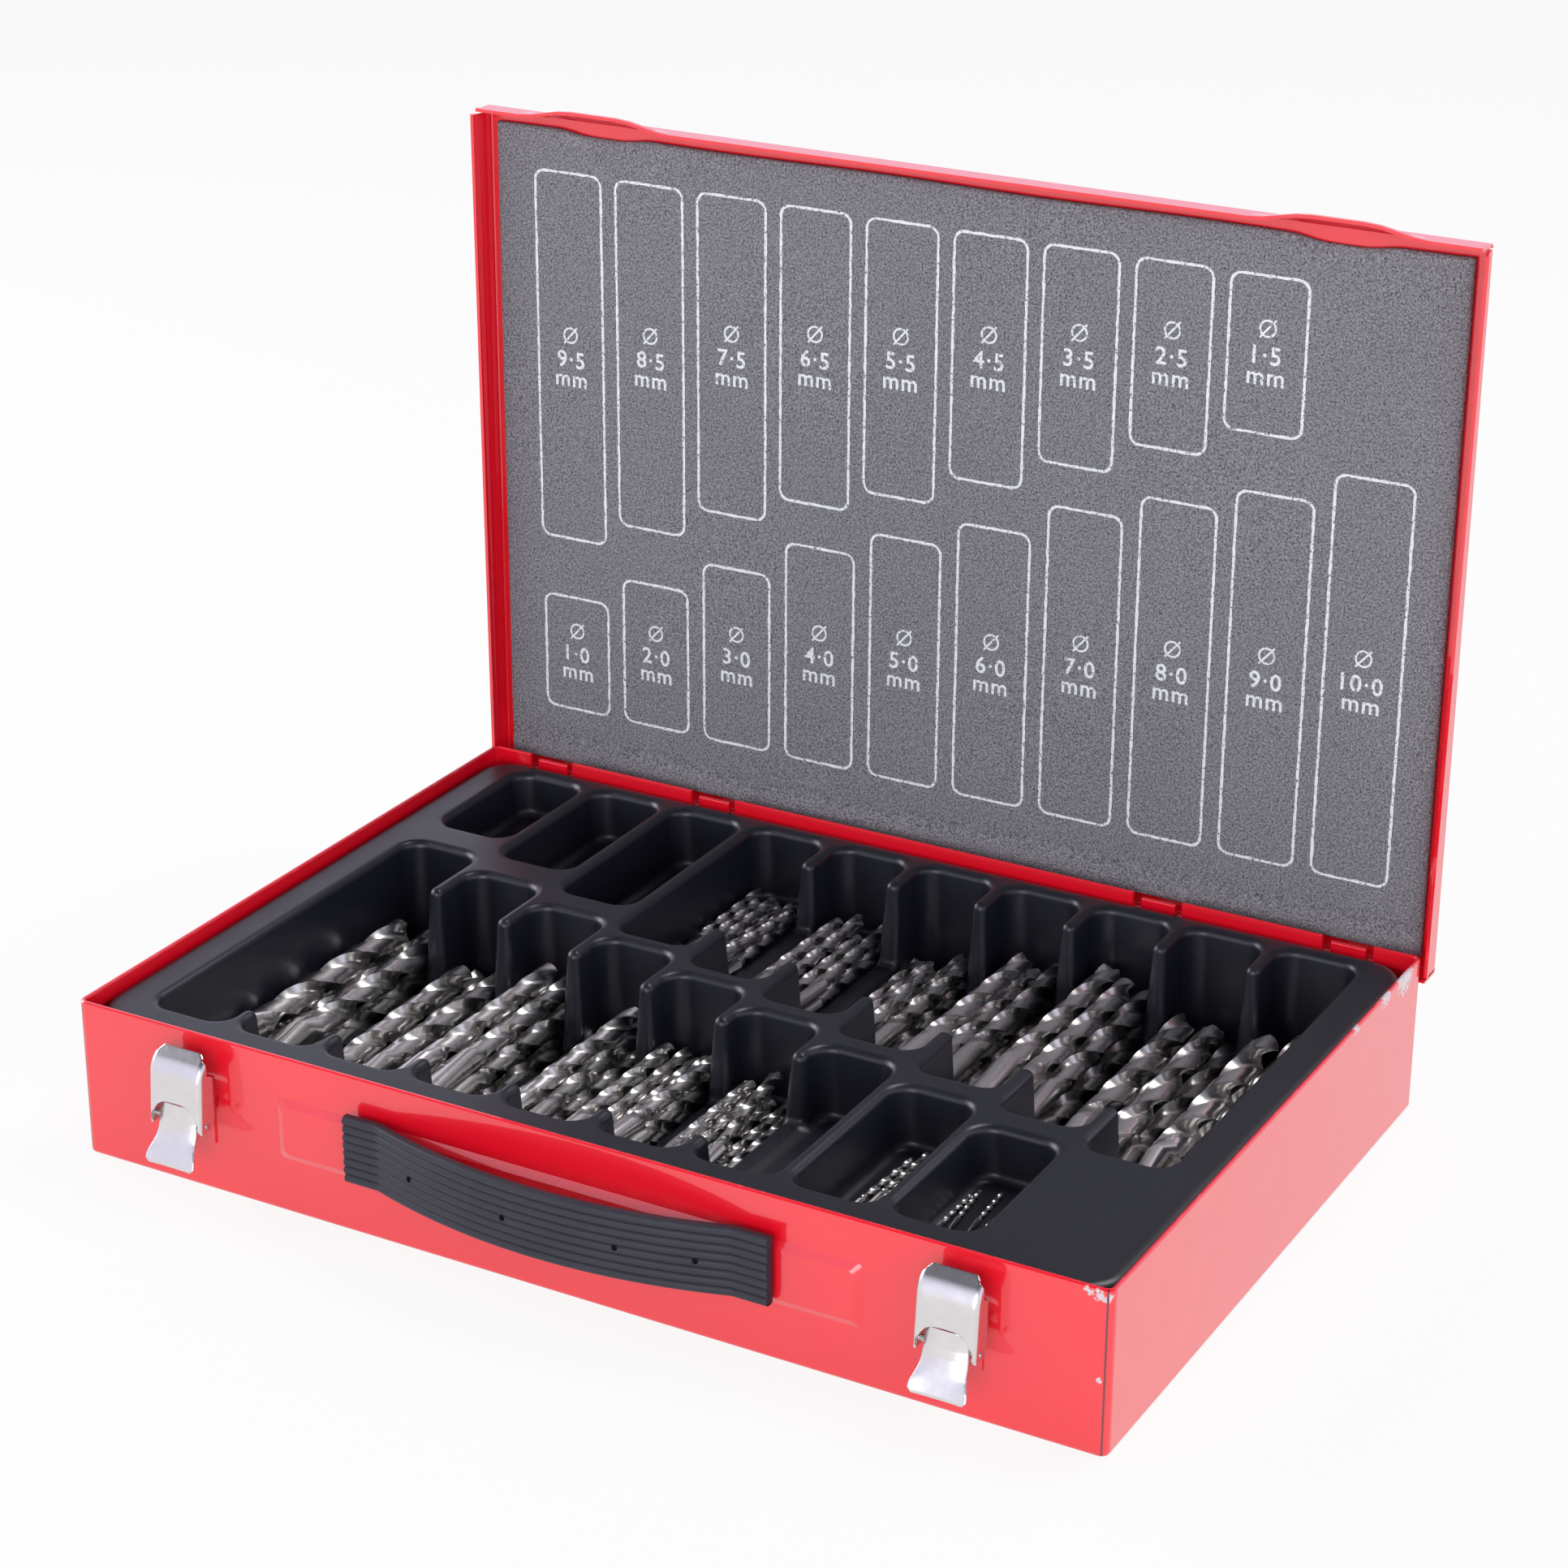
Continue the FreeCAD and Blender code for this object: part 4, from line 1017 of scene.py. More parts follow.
@dataclass
class Tray:
    """The black moulded tray, skinned from one smooth solid with every rim rounded."""

    palette: Palette
    plan: TrayPlan
    half_x: float = 182.8
    half_y: float = 121.8
    foot: float = 8.2
    outer_corner: float = 14.0
    outer_edge: float = 4.0
    rim_radius: float = 2.4
    floor_radius: float = 3.0
    gap_corner: float = 1.0
    gap_floor_radius: float = 2.5
    gap_half_width: float = 7.0
    gap_draft: float = 2.0
    reach: float = 6.0
    step: float = 1.25

    def cavity(self, p: np.ndarray, x: float, start: float, end: float, floor: float, half_x: float,
               draft_x: float, draft_y: float, corner: float, foot: float) -> np.ndarray:
        """Distance from a drafted pocket, negative in its space.

        Args:
            p: points, one row each.
            x: middle of the pocket across.
            start: its front end at the rim.
            end: its back end at the rim.
            floor: height of its floor.
            half_x: half its width at the rim.
            draft_x: how far each side leans in down to the floor.
            draft_y: how far each end leans in.
            corner: radius of its corners in plan.
            foot: radius where walls meet the floor.

        Returns:
            One distance per point.
        """
        fall = (self.plan.rim_z - p[:, 2]) / (self.plan.rim_z - floor)
        wide = half_x - draft_x * fall
        long = (end - start) / 2 - draft_y * fall
        plan = rounded_rectangle(p[:, 0] - x, p[:, 1] - (start + end) / 2, wide, long, corner)
        return rounded_max(plan, floor - p[:, 2], foot)

    def distance(self, p: np.ndarray) -> np.ndarray:
        """Distance from the tray's solid, negative inside.

        Args:
            p: points in millimetres, one row each.

        Returns:
            One distance per point.
        """
        outline = rounded_rectangle(p[:, 0], p[:, 1], np.full(len(p), self.half_x),
                                    np.full(len(p), self.half_y), self.outer_corner)
        solid = rounded_max(outline, p[:, 2] - self.plan.rim_z, self.outer_edge)
        draft = (self.plan.rim_width - self.plan.floor_width) / 2
        jobs = [(k.x, k.start, k.end, k.floor, self.plan.rim_width / 2, draft, self.plan.end_draft,
                 self.plan.corner, self.floor_radius) for k in self.plan.front() + self.plan.back()]
        jobs += [(x, start, end, z, self.gap_half_width, 0.0, self.gap_draft, self.gap_corner,
                  self.gap_floor_radius) for x, start, end, z in self.plan.gaps()]
        for job in jobs:
            x, start, end, floor, half_x = job[:5]
            near = ((np.abs(p[:, 0] - x) < half_x + self.reach) & (p[:, 1] > start - self.reach)
                    & (p[:, 1] < end + self.reach) & (p[:, 2] > floor - self.reach))
            if near.any():
                solid[near] = rounded_max(solid[near], -self.cavity(p[near], *job), self.rim_radius)
        return np.maximum(solid, self.foot - p[:, 2])

    def build(self) -> None:
        """Skin the tray and let it stand for its node."""
        room, room_below = 2.0, 1.6
        low = (-self.half_x - room, -self.half_y - room, self.foot - room_below)
        high = (self.half_x + room, self.half_y + room, self.plan.rim_z + room)
        piece = skin_solid("tray_moulding", self.distance, low, high, self.step)
        place(piece, "case", self.palette.tray_plastic, ("tray",))
        LOG.info("tray: %d points", len(piece.data.vertices))


# ---------------------------------------------------------------- pressed latch parts
@dataclass
class Latch:
    """Over-centre latch on the front wall: pressed hook shell and curled lever, with rounded bends."""

    palette: Palette
    height: float = 31.0
    sheet: float = 1.0
    lever_sheet: float = 0.8
    half_width: float = 10.25
    face: float = 12.0
    bend_z: float = 15.5
    bend_radius: float = 2.4
    side_radius: float = 2.0
    lip_z: float = 22.1
    foot_z: float = -4.6
    lip_corner: Tuple[float, float] = (6.9, 18.9)
    cheek_back: Curve = ((-4.6, 5.8), (-1.0, 4.2), (13.6, 4.2), (15.0, 6.9), (20.2, 6.9), (20.8, 5.4),
                         (23.0, 5.4))
    cheek_slope: float = 0.8
    face_lean: float = 0.085
    lean_z: float = 4.0
    face_swell: float = 0.6
    toe_z: float = 2.0
    toe_facing: Tuple[float, float] = (0.881, 0.474)
    arch: Curve = ((0.0, 4.7), (3.0, 4.6), (5.0, 4.15), (6.4, 3.2), (7.6, 1.7), (8.35, 0.4), (8.85, -0.1),
                   (9.05, -8.0))
    arch_half: float = 9.0
    arch_slope: float = 0.7
    arch_depth: float = 2.4
    hook_edge: float = 0.3
    tongue: Tuple[Point, ...] = (
        (-16.3, 16.2, 9.2), (-15.2, 16.0, 9.6), (-13.5, 15.3, 9.5), (-12.0, 14.6, 9.0), (-10.0, 13.7, 8.2),
        (-8.0, 12.9, 7.7), (-5.0, 11.9, 7.5), (-2.0, 11.15, 7.4), (1.0, 10.75, 7.3), (3.5, 10.6, 6.9))
    tongue_slope: Curve = ((-16.3, 0.98), (-14.5, 0.90), (-12.0, 0.90), (-6.0, 0.95), (-1.0, 1.0))
    tongue_side_slope: float = 0.9
    tongue_crown: float = 0.75
    scoop_share: float = 0.6
    scoop_z: float = 12.5
    scoop_run: float = 6.0
    lip_end: float = -16.3
    lip_cut: Tuple[float, float] = (9.6, -14.9)
    diagonal: float = 0.707
    tongue_top: float = 3.6
    tongue_edge: float = 0.35
    ear: Curve = ((10.4, 2.4), (10.5, -4.0), (12.2, -9.0), (11.4, -9.0), (6.0, -5.2), (2.4, -1.0),
                  (2.4, 1.0), (4.0, 2.4))
    ear_inner: float = 6.2
    ear_outer: float = 7.0
    ear_edge: float = 0.25
    ear_join: float = 0.3
    hook_block: Tuple[Point, Point] = ((-11.4, -13.2, -5.8), (11.4, -3.0, 23.4))
    lever_block: Tuple[Point, Point] = ((-10.8, -17.6, -17.4), (10.8, -1.2, 4.8))
    step: float = 0.4

    def hook(self, p: np.ndarray) -> np.ndarray:
        """Distance from the hook shell, negative inside.

        Args:
            p: points from the latch's middle on the wall, one row each.

        Returns:
            One distance per point.
        """
        x, out, z = np.abs(p[:, 0]), -p[:, 1], p[:, 2]
        slope = (out + z - self.face - self.bend_z) / math.sqrt(2)
        front = out - self.face + self.face_lean * (z + self.lean_z) - self.face_swell
        body = rounded_max(rounded_max(front, slope, self.bend_radius), x - self.half_width,
                           self.side_radius)
        shell = np.abs(body + self.sheet / 2) - self.sheet / 2
        back = read_curve(z, self.cheek_back) - out
        cx, cz = self.lip_corner
        run = np.array([self.half_width - cx, cz - self.lip_z])
        across = np.array([-run[1], run[0]]) / np.linalg.norm(run)
        corner = (x - self.half_width) * across[0] + (z - cz) * across[1]
        toe_out, toe_up = self.toe_facing
        toe = (out - self.face - self.face_swell) * toe_out - (z + self.toe_z) * toe_up
        ends = np.maximum.reduce([back * self.cheek_slope, z - self.lip_z, self.foot_z - z, corner, toe])
        above = (z - read_curve(x, self.arch)) * self.arch_slope
        arch = np.maximum.reduce([x - self.arch_half, above, self.face - self.arch_depth - out])
        return rounded_max(rounded_max(shell, ends, self.hook_edge), -arch, self.hook_edge)

    def lever(self, p: np.ndarray) -> np.ndarray:
        """Distance from the lever: crowned tongue, flared lip and the two cheeks to its pins.

        Args:
            p: points from the latch's middle on the wall, one row each.

        Returns:
            One distance per point.
        """
        x, out, z = np.abs(p[:, 0]), -p[:, 1], p[:, 2]
        front = read_curve(z, self.tongue)
        wide = read_curve(z, self.tongue, 2)
        share = np.clip((z + self.scoop_z) / self.scoop_run, 0, 1)
        front = front - self.tongue_crown * (2 * share - self.scoop_share) * np.clip(x / wide, 0, 1) ** 3
        steep = read_curve(z, self.tongue_slope)
        sheet = np.abs(out - front + self.lever_sheet / 2) * steep - self.lever_sheet / 2
        cut_x, cut_z = self.lip_cut
        corner = (x - cut_x) * self.diagonal + (cut_z - z) * self.diagonal
        edge = np.maximum.reduce([(x - wide) * self.tongue_side_slope, self.lip_end - z,
                                  z - self.tongue_top, corner])
        tongue = rounded_max(sheet, edge, self.tongue_edge)
        cheek = np.maximum(x - self.ear_outer, self.ear_inner - x)
        for (o1, z1), (o2, z2) in zip(self.ear, self.ear[1:] + self.ear[:1]):
            length = math.hypot(o2 - o1, z2 - z1)
            side = ((out - o1) * (z1 - z2) + (z - z1) * (o2 - o1)) / length
            cheek = rounded_max(cheek, side, self.ear_edge)
        return -rounded_max(-tongue, -cheek, self.ear_join)

    def build(self) -> None:
        """Skin the hook and the lever of both latches."""
        for side, x in (("left", -SIZES.keeper_x), ("right", SIZES.keeper_x)):
            shift = (x, -SIZES.half_depth, self.height)
            hook = skin_solid(f"latch_{side}_hook_shell", self.hook, *self.hook_block, self.step, shift)
            place(hook, f"hook_{side}", self.palette.latch_steel, (f"latch_{side}_hook",))
            lever = skin_solid(f"latch_{side}_lever_tongue", self.lever, *self.lever_block, self.step, shift)
            place(lever, f"lever_{side}", self.palette.latch_steel, (f"latch_{side}_lever",))
        LOG.info("latches")


# ---------------------------------------------------------------- twist drills
@dataclass(frozen=True)
class DrillSize:
    """One size of twist drill: diameter, overall and flute length, and how many lie in the pocket."""

    diameter: float
    overall: float
    flute: float
    count: int

    @property
    def tag(self) -> str:
        """The size as it stands in names."""
        return str(self.diameter).replace(".", "_")


DRILLS = tuple(DrillSize(*row) for row in (
    (1.5, 40.0, 18.0, 5), (2.0, 49.0, 24.0, 4), (2.5, 57.0, 30.0, 4), (4.0, 75.0, 43.0, 10),
    (4.5, 80.0, 47.0, 10), (5.0, 86.0, 52.0, 10), (5.5, 93.0, 57.0, 10), (6.0, 93.0, 57.0, 10),
    (6.5, 101.0, 63.0, 10), (7.0, 109.0, 69.0, 10), (7.5, 109.0, 69.0, 10), (8.0, 117.0, 75.0, 10),
    (8.5, 117.0, 75.0, 5), (9.0, 125.0, 81.0, 5), (9.5, 125.0, 81.0, 5), (10.0, 133.0, 87.0, 5)))


@dataclass
class Heap:
    """Lets the drills of every pocket fall and come to rest on each other, in millimetres."""

    plan: TrayPlan
    end_room: float = 1.9
    end_play: float = 1.2
    wall_gap: float = 0.15
    skin: float = 0.04
    foot: float = 2.2
    foot_rise: float = 0.2
    gap_edge: float = 3.5
    no_gap: Tuple[float, float, float] = (0.0, 0.0, 1000.0)
    rows_meet: float = 60.0
    same_place: float = 1.0
    slack_kept: float = 1.0
    lowest: float = 0.1
    layer_gap: float = 0.3
    slide: float = 0.618034
    yaw: float = 0.10
    lean_yaw: float = 0.17
    leaning_from: float = 0.6
    yaw_room: float = 1.7
    steepest: float = 0.9
    side_share: float = 0.9
    neighbours: float = 1.5
    push: float = 0.9
    fall: float = 0.04
    carry: float = 0.86
    grip: float = 0.35
    steps: int = 420
    rounds: int = 4
    samples: Tuple[float, ...] = (0.0, 0.2, 0.4, 0.6, 0.8, 1.0)
    tiny: float = 1e-6
    seed: int = 11

    def sides(self, pocket: Pocket, row: int) -> List[Tuple[float, float, float]]:
        """Find what lies beside a pocket.

        Args:
            pocket: the pocket.
            row: 0 for the front row, 1 for the back row.

        Returns:
            Start, end and height of the finger gap on its left and on its right.
        """
        found = []
        for sign in (-1, 1):
            beside = [g for g in self.plan.gaps()
                      if abs(g[0] - pocket.x - sign * self.plan.pitch / 2) < self.same_place
                      and (g[2] > self.rows_meet) == (row == 1)]
            found.append(beside[0][1:] if beside else self.no_gap)
        return found

    def load(self) -> None:
        """Lay the drills in loose layers above their pockets and note what bounds each one."""
        rng = np.random.default_rng(self.seed)
        ends, radius, length, bounds = [], [], [], []
        pockets = [(k, self.sides(k, row)) for row, held in enumerate((self.plan.front(), self.plan.back()))
                   for k in held]
        for size in DRILLS:
            r = size.diameter / 2
            half = self.plan.floor_width / 2 - self.wall_gap - max(r, self.foot)
            limit = math.asin(min(self.steepest, self.yaw_room * half / size.overall))
            for k, sides in pockets:
                if k.size != size.diameter:
                    continue
                low, high = k.start + self.end_room, k.end - self.end_room
                slack = high - low - size.overall - self.slack_kept
                open_sided = any(side != self.no_gap for side in sides)
                for index in range(size.count):
                    leans = open_sided and index >= size.count * self.leaning_from
                    yaw = float(rng.uniform(-1, 1)) * min(limit, self.lean_yaw if leans else self.yaw)
                    play = half - size.overall / 2 * abs(math.sin(yaw)) * self.side_share
                    side = float(rng.uniform(-1, 1)) * play
                    y = low + self.slack_kept / 2 + slack * ((index + 1) * self.slide % 1.0)
                    z = k.floor + r + self.lowest + index * (size.diameter + self.layer_gap)
                    run = size.overall * np.array([math.sin(yaw), math.cos(yaw), 0.0])
                    middle = np.array([k.x + side, y + size.overall / 2, z])
                    ends.append((middle - run / 2, middle + run / 2))
                    radius.append(r)
                    length.append(size.overall)
                    bounds.append((k.x, low, high, k.floor, *sides[0], *sides[1]))
        self.ends = np.array(ends)
        self.radius = np.array(radius)
        self.length = np.array(length)
        self.bounds = np.array(bounds)
        first, second = np.triu_indices(len(radius), 1)
        apart = np.abs(self.bounds[first, 0] - self.bounds[second, 0])
        near = apart < self.plan.pitch * self.neighbours
        self.first, self.second = first[near], second[near]

    def push_apart(self, p: np.ndarray) -> None:
        """Separate every two drills that come nearer than their radii.

        Args:
            p: both ends of every drill, changed in place.
        """
        a, b = self.first, self.second
        d1, d2 = p[a, 1] - p[a, 0], p[b, 1] - p[b, 0]
        start = p[a, 0] - p[b, 0]
        aa, ee = (d1 * d1).sum(1), (d2 * d2).sum(1)
        bb, cc, ff = (d1 * d2).sum(1), (d1 * start).sum(1), (d2 * start).sum(1)
        scale = np.maximum(aa * ee - bb * bb, self.tiny)
        s = np.clip((bb * ff - cc * ee) / scale, 0, 1)
        t = np.clip((bb * s + ff) / ee, 0, 1)
        s = np.clip((bb * t - cc) / aa, 0, 1)
        apart = start + d1 * s[:, None] - d2 * t[:, None]
        gap = np.linalg.norm(apart, axis=1)
        over = self.radius[a] + self.radius[b] + self.skin - gap
        hit = over > 0
        if not hit.any():
            return
        away = apart[hit] / np.maximum(gap[hit], self.tiny)[:, None]
        s, t, over = s[hit], t[hit], over[hit]
        weight = (1 - s) ** 2 + s ** 2 + (1 - t) ** 2 + t ** 2
        push = self.push * over / weight
        for part, index, share, sign in ((a, 0, 1 - s, 1), (a, 1, s, 1), (b, 0, 1 - t, -1), (b, 1, t, -1)):
            np.add.at(p, (part[hit], index), sign * away * (push * share)[:, None])

    def keep_in(self, p: np.ndarray) -> None:
        """Hold the drills above the floors, between the walls and out of the lowered dividers.

        Args:
            p: both ends of every drill, changed in place.
        """
        x0, low, high, floor = (self.bounds[:, k] for k in range(4))
        corner = self.plan.corner
        for t in self.samples:
            q = p[:, 0] * (1 - t) + p[:, 1] * t
            rise = np.clip((q[:, 2] - floor) / (self.plan.rim_z - floor), 0, 1)
            half = self.plan.floor_width / 2 + (self.plan.rim_width - self.plan.floor_width) / 2 * rise
            from_end = np.minimum(q[:, 1] - low + self.end_play, high + self.end_play - q[:, 1])
            inset = corner - np.clip(from_end, 0, corner)
            half = half - corner + np.sqrt(corner ** 2 - inset ** 2)
            half = half - self.wall_gap - np.maximum(self.radius, self.foot * (rise < self.foot_rise))
            away = q[:, 0] - x0
            over = np.abs(away) - half
            side = np.where(away < 0, 4, 7)
            rows = np.arange(len(q))
            gap_start, gap_end = self.bounds[rows, side], self.bounds[rows, side + 1]
            need = self.bounds[rows, side + 2] + self.radius + self.wall_gap - q[:, 2]
            lowered = (q[:, 1] > gap_start + self.gap_edge) & (q[:, 1] < gap_end - self.gap_edge)
            over = np.where(over > 0, over, 0.0)
            lift = np.where(lowered & (over > 0) & (need > 0) & (need < over), need, 0.0)
            shift = np.where(lowered & (need < over), 0.0, over) * -np.sign(away)
            lift = np.maximum(lift, floor + self.radius + self.skin - q[:, 2])
            share = (1 - t) ** 2 + t ** 2
            move = np.stack([shift, np.zeros(len(q)), lift], axis=1) / share
            p[:, 0] += move * (1 - t)
            p[:, 1] += move * t
        for end in (0, 1):
            p[:, end, 1] = np.clip(p[:, end, 1], low, high)

    def settle(self) -> np.ndarray:
        """Let everything fall and rest.

        Returns:
            The two ends of every drill, shank end first, in the order of DRILLS.
        """
        self.load()
        p = self.ends.copy()
        last = p.copy()
        for _ in range(self.steps):
            speed = (p - last) * self.carry
            speed[:, :, :2] *= self.grip
            last = p.copy()
            p = p + speed
            p[:, :, 2] -= self.fall
            for _ in range(self.rounds):
                self.push_apart(p)
                self.keep_in(p)
                middle = p.mean(axis=1)
                run = p[:, 1] - p[:, 0]
                run *= (self.length / np.linalg.norm(run, axis=1))[:, None]
                p = np.stack([middle - run / 2, middle + run / 2], axis=1)
        return p


@dataclass
class Drills:
    """Loose twist drills heaped in the pockets, with ground helical flutes."""

    palette: Palette
    plan: TrayPlan
    helix_angle: float = 30.0
    web: float = 0.30
    land: float = 0.965
    margin_angle: float = 13.0
    flute_half_angle: float = 42.0
    flute_points: int = 9
    land_points: int = 5
    point_angle: float = 118.0
    heel_angle: float = 2.5
    heel_end: float = 0.02
    chamfer: float = 0.10
    runout: float = 1.4
    runout_bend: float = 0.7
    tip_steps: Tuple[float, ...] = (0.3, 0.6, 0.97)
    station: float = 0.15
    sharp_from: float = 36.0
    seed: int = 7

    def section(self) -> Tuple[np.ndarray, np.ndarray]:
        """Section of the fluted body: two round grooves, lands set back behind a narrow margin.

        Returns:
            Angles round the section and the share of the radius at each.
        """
        edge = math.radians(self.flute_half_angle)
        reach = (1 - self.web ** 2) / (2 * (math.cos(edge) - self.web))
        round_off = reach - self.web
        turns, shares = [], []
        for half in (0.0, math.pi):
            for a in np.linspace(-edge, edge, self.flute_points):
                turns.append(half + a)
                shares.append(reach * math.cos(a) - math.sqrt(round_off ** 2 - (reach * math.sin(a)) ** 2))
            margin = edge + math.radians(self.margin_angle)
            turns.append(half + margin)
            shares.append(1.0)
            heel = margin + math.radians(self.heel_angle)
            for a in np.linspace(heel, math.pi - edge - self.heel_end, self.land_points):
                turns.append(half + a)
                shares.append(self.land)
        return np.array(turns), np.array(shares)

    def drill(self, size: DrillSize, phase: float) -> MeshParts:
        """One drill along +Y from the end of its shank, in millimetres.

        Args:
            size: which drill.
            phase: how far its flutes are turned.

        Returns:
            Its points and faces.
        """
        turns, shares = self.section()
        around = len(turns)
        radius = size.diameter / 2
        point = radius / math.tan(math.radians(self.point_angle / 2))
        turn_per_mm = math.tan(math.radians(self.helix_angle)) / radius
        shank_end = size.overall - size.flute
        fluted = size.overall - point - shank_end
        chamfer = self.chamfer * size.diameter
        stations = [(0.0, radius - chamfer, 0.0), (chamfer, radius, 0.0), (shank_end - radius, radius, 0.0)]
        runout = self.runout * size.diameter
        steps = int(fluted / (self.station * size.diameter))
        for i in range(steps + 1):
            y = shank_end + fluted * i / steps
            stations.append((y, radius, min(1.0, (y - shank_end) / runout) ** self.runout_bend))
        for share in self.tip_steps:
            stations.append((size.overall - point + point * share, radius * (1 - share), 1.0))
        rows = []
        for y, r, depth in stations:
            turn = phase + turn_per_mm * y
            reach = r * (1 - depth + depth * shares)
            rows.append(np.stack([reach * np.cos(turns - turn), np.full(around, y),
                                  reach * np.sin(turns - turn)], axis=1))
        faces = [tuple(f[::-1]) for f in grid_faces(len(rows), around, closed=True)]
        faces.append(tuple(range(around)))
        top = (len(rows) - 1) * around
        faces.append(tuple(range(top + around - 1, top - 1, -1)))
        return np.concatenate(rows), faces

    def lay(self, points: np.ndarray, ends: np.ndarray) -> np.ndarray:
        """Turn a drill's points so that it lies from its shank end to its tip.

        Args:
            points: the drill's points along +Y.
            ends: where its two ends lie.

        Returns:
            The turned points.
        """
        run = ends[1] - ends[0]
        run = run / np.linalg.norm(run)
        side = np.cross(run, (0.0, 0.0, 1.0))
        side /= np.linalg.norm(side)
        return ends[0] + points @ np.stack([side, run, np.cross(side, run)])

    def build(self) -> None:
        """Fill every pocket that holds drills, one piece for each size."""
        rng = np.random.default_rng(self.seed)
        rest = Heap(self.plan).settle()
        taken = 0
        for size in DRILLS:
            verts, faces = [], []
            count = 0
            for ends in rest[taken:taken + size.count]:
                points, quads = self.drill(size, rng.uniform(0, 2 * math.pi))
                verts.append(self.lay(points, ends))
                faces += [tuple(c + count for c in quad) for quad in quads]
                count += len(points)
            taken += size.count
            piece = new_object(f"drills_{size.tag}_mm", np.concatenate(verts), faces)
            piece.data.set_sharp_from_angle(angle=math.radians(self.sharp_from))
            place(piece, "case", self.palette.drill_steel, (f"bits_{size.tag}",))
        LOG.info("drills: %d sizes", len(DRILLS))


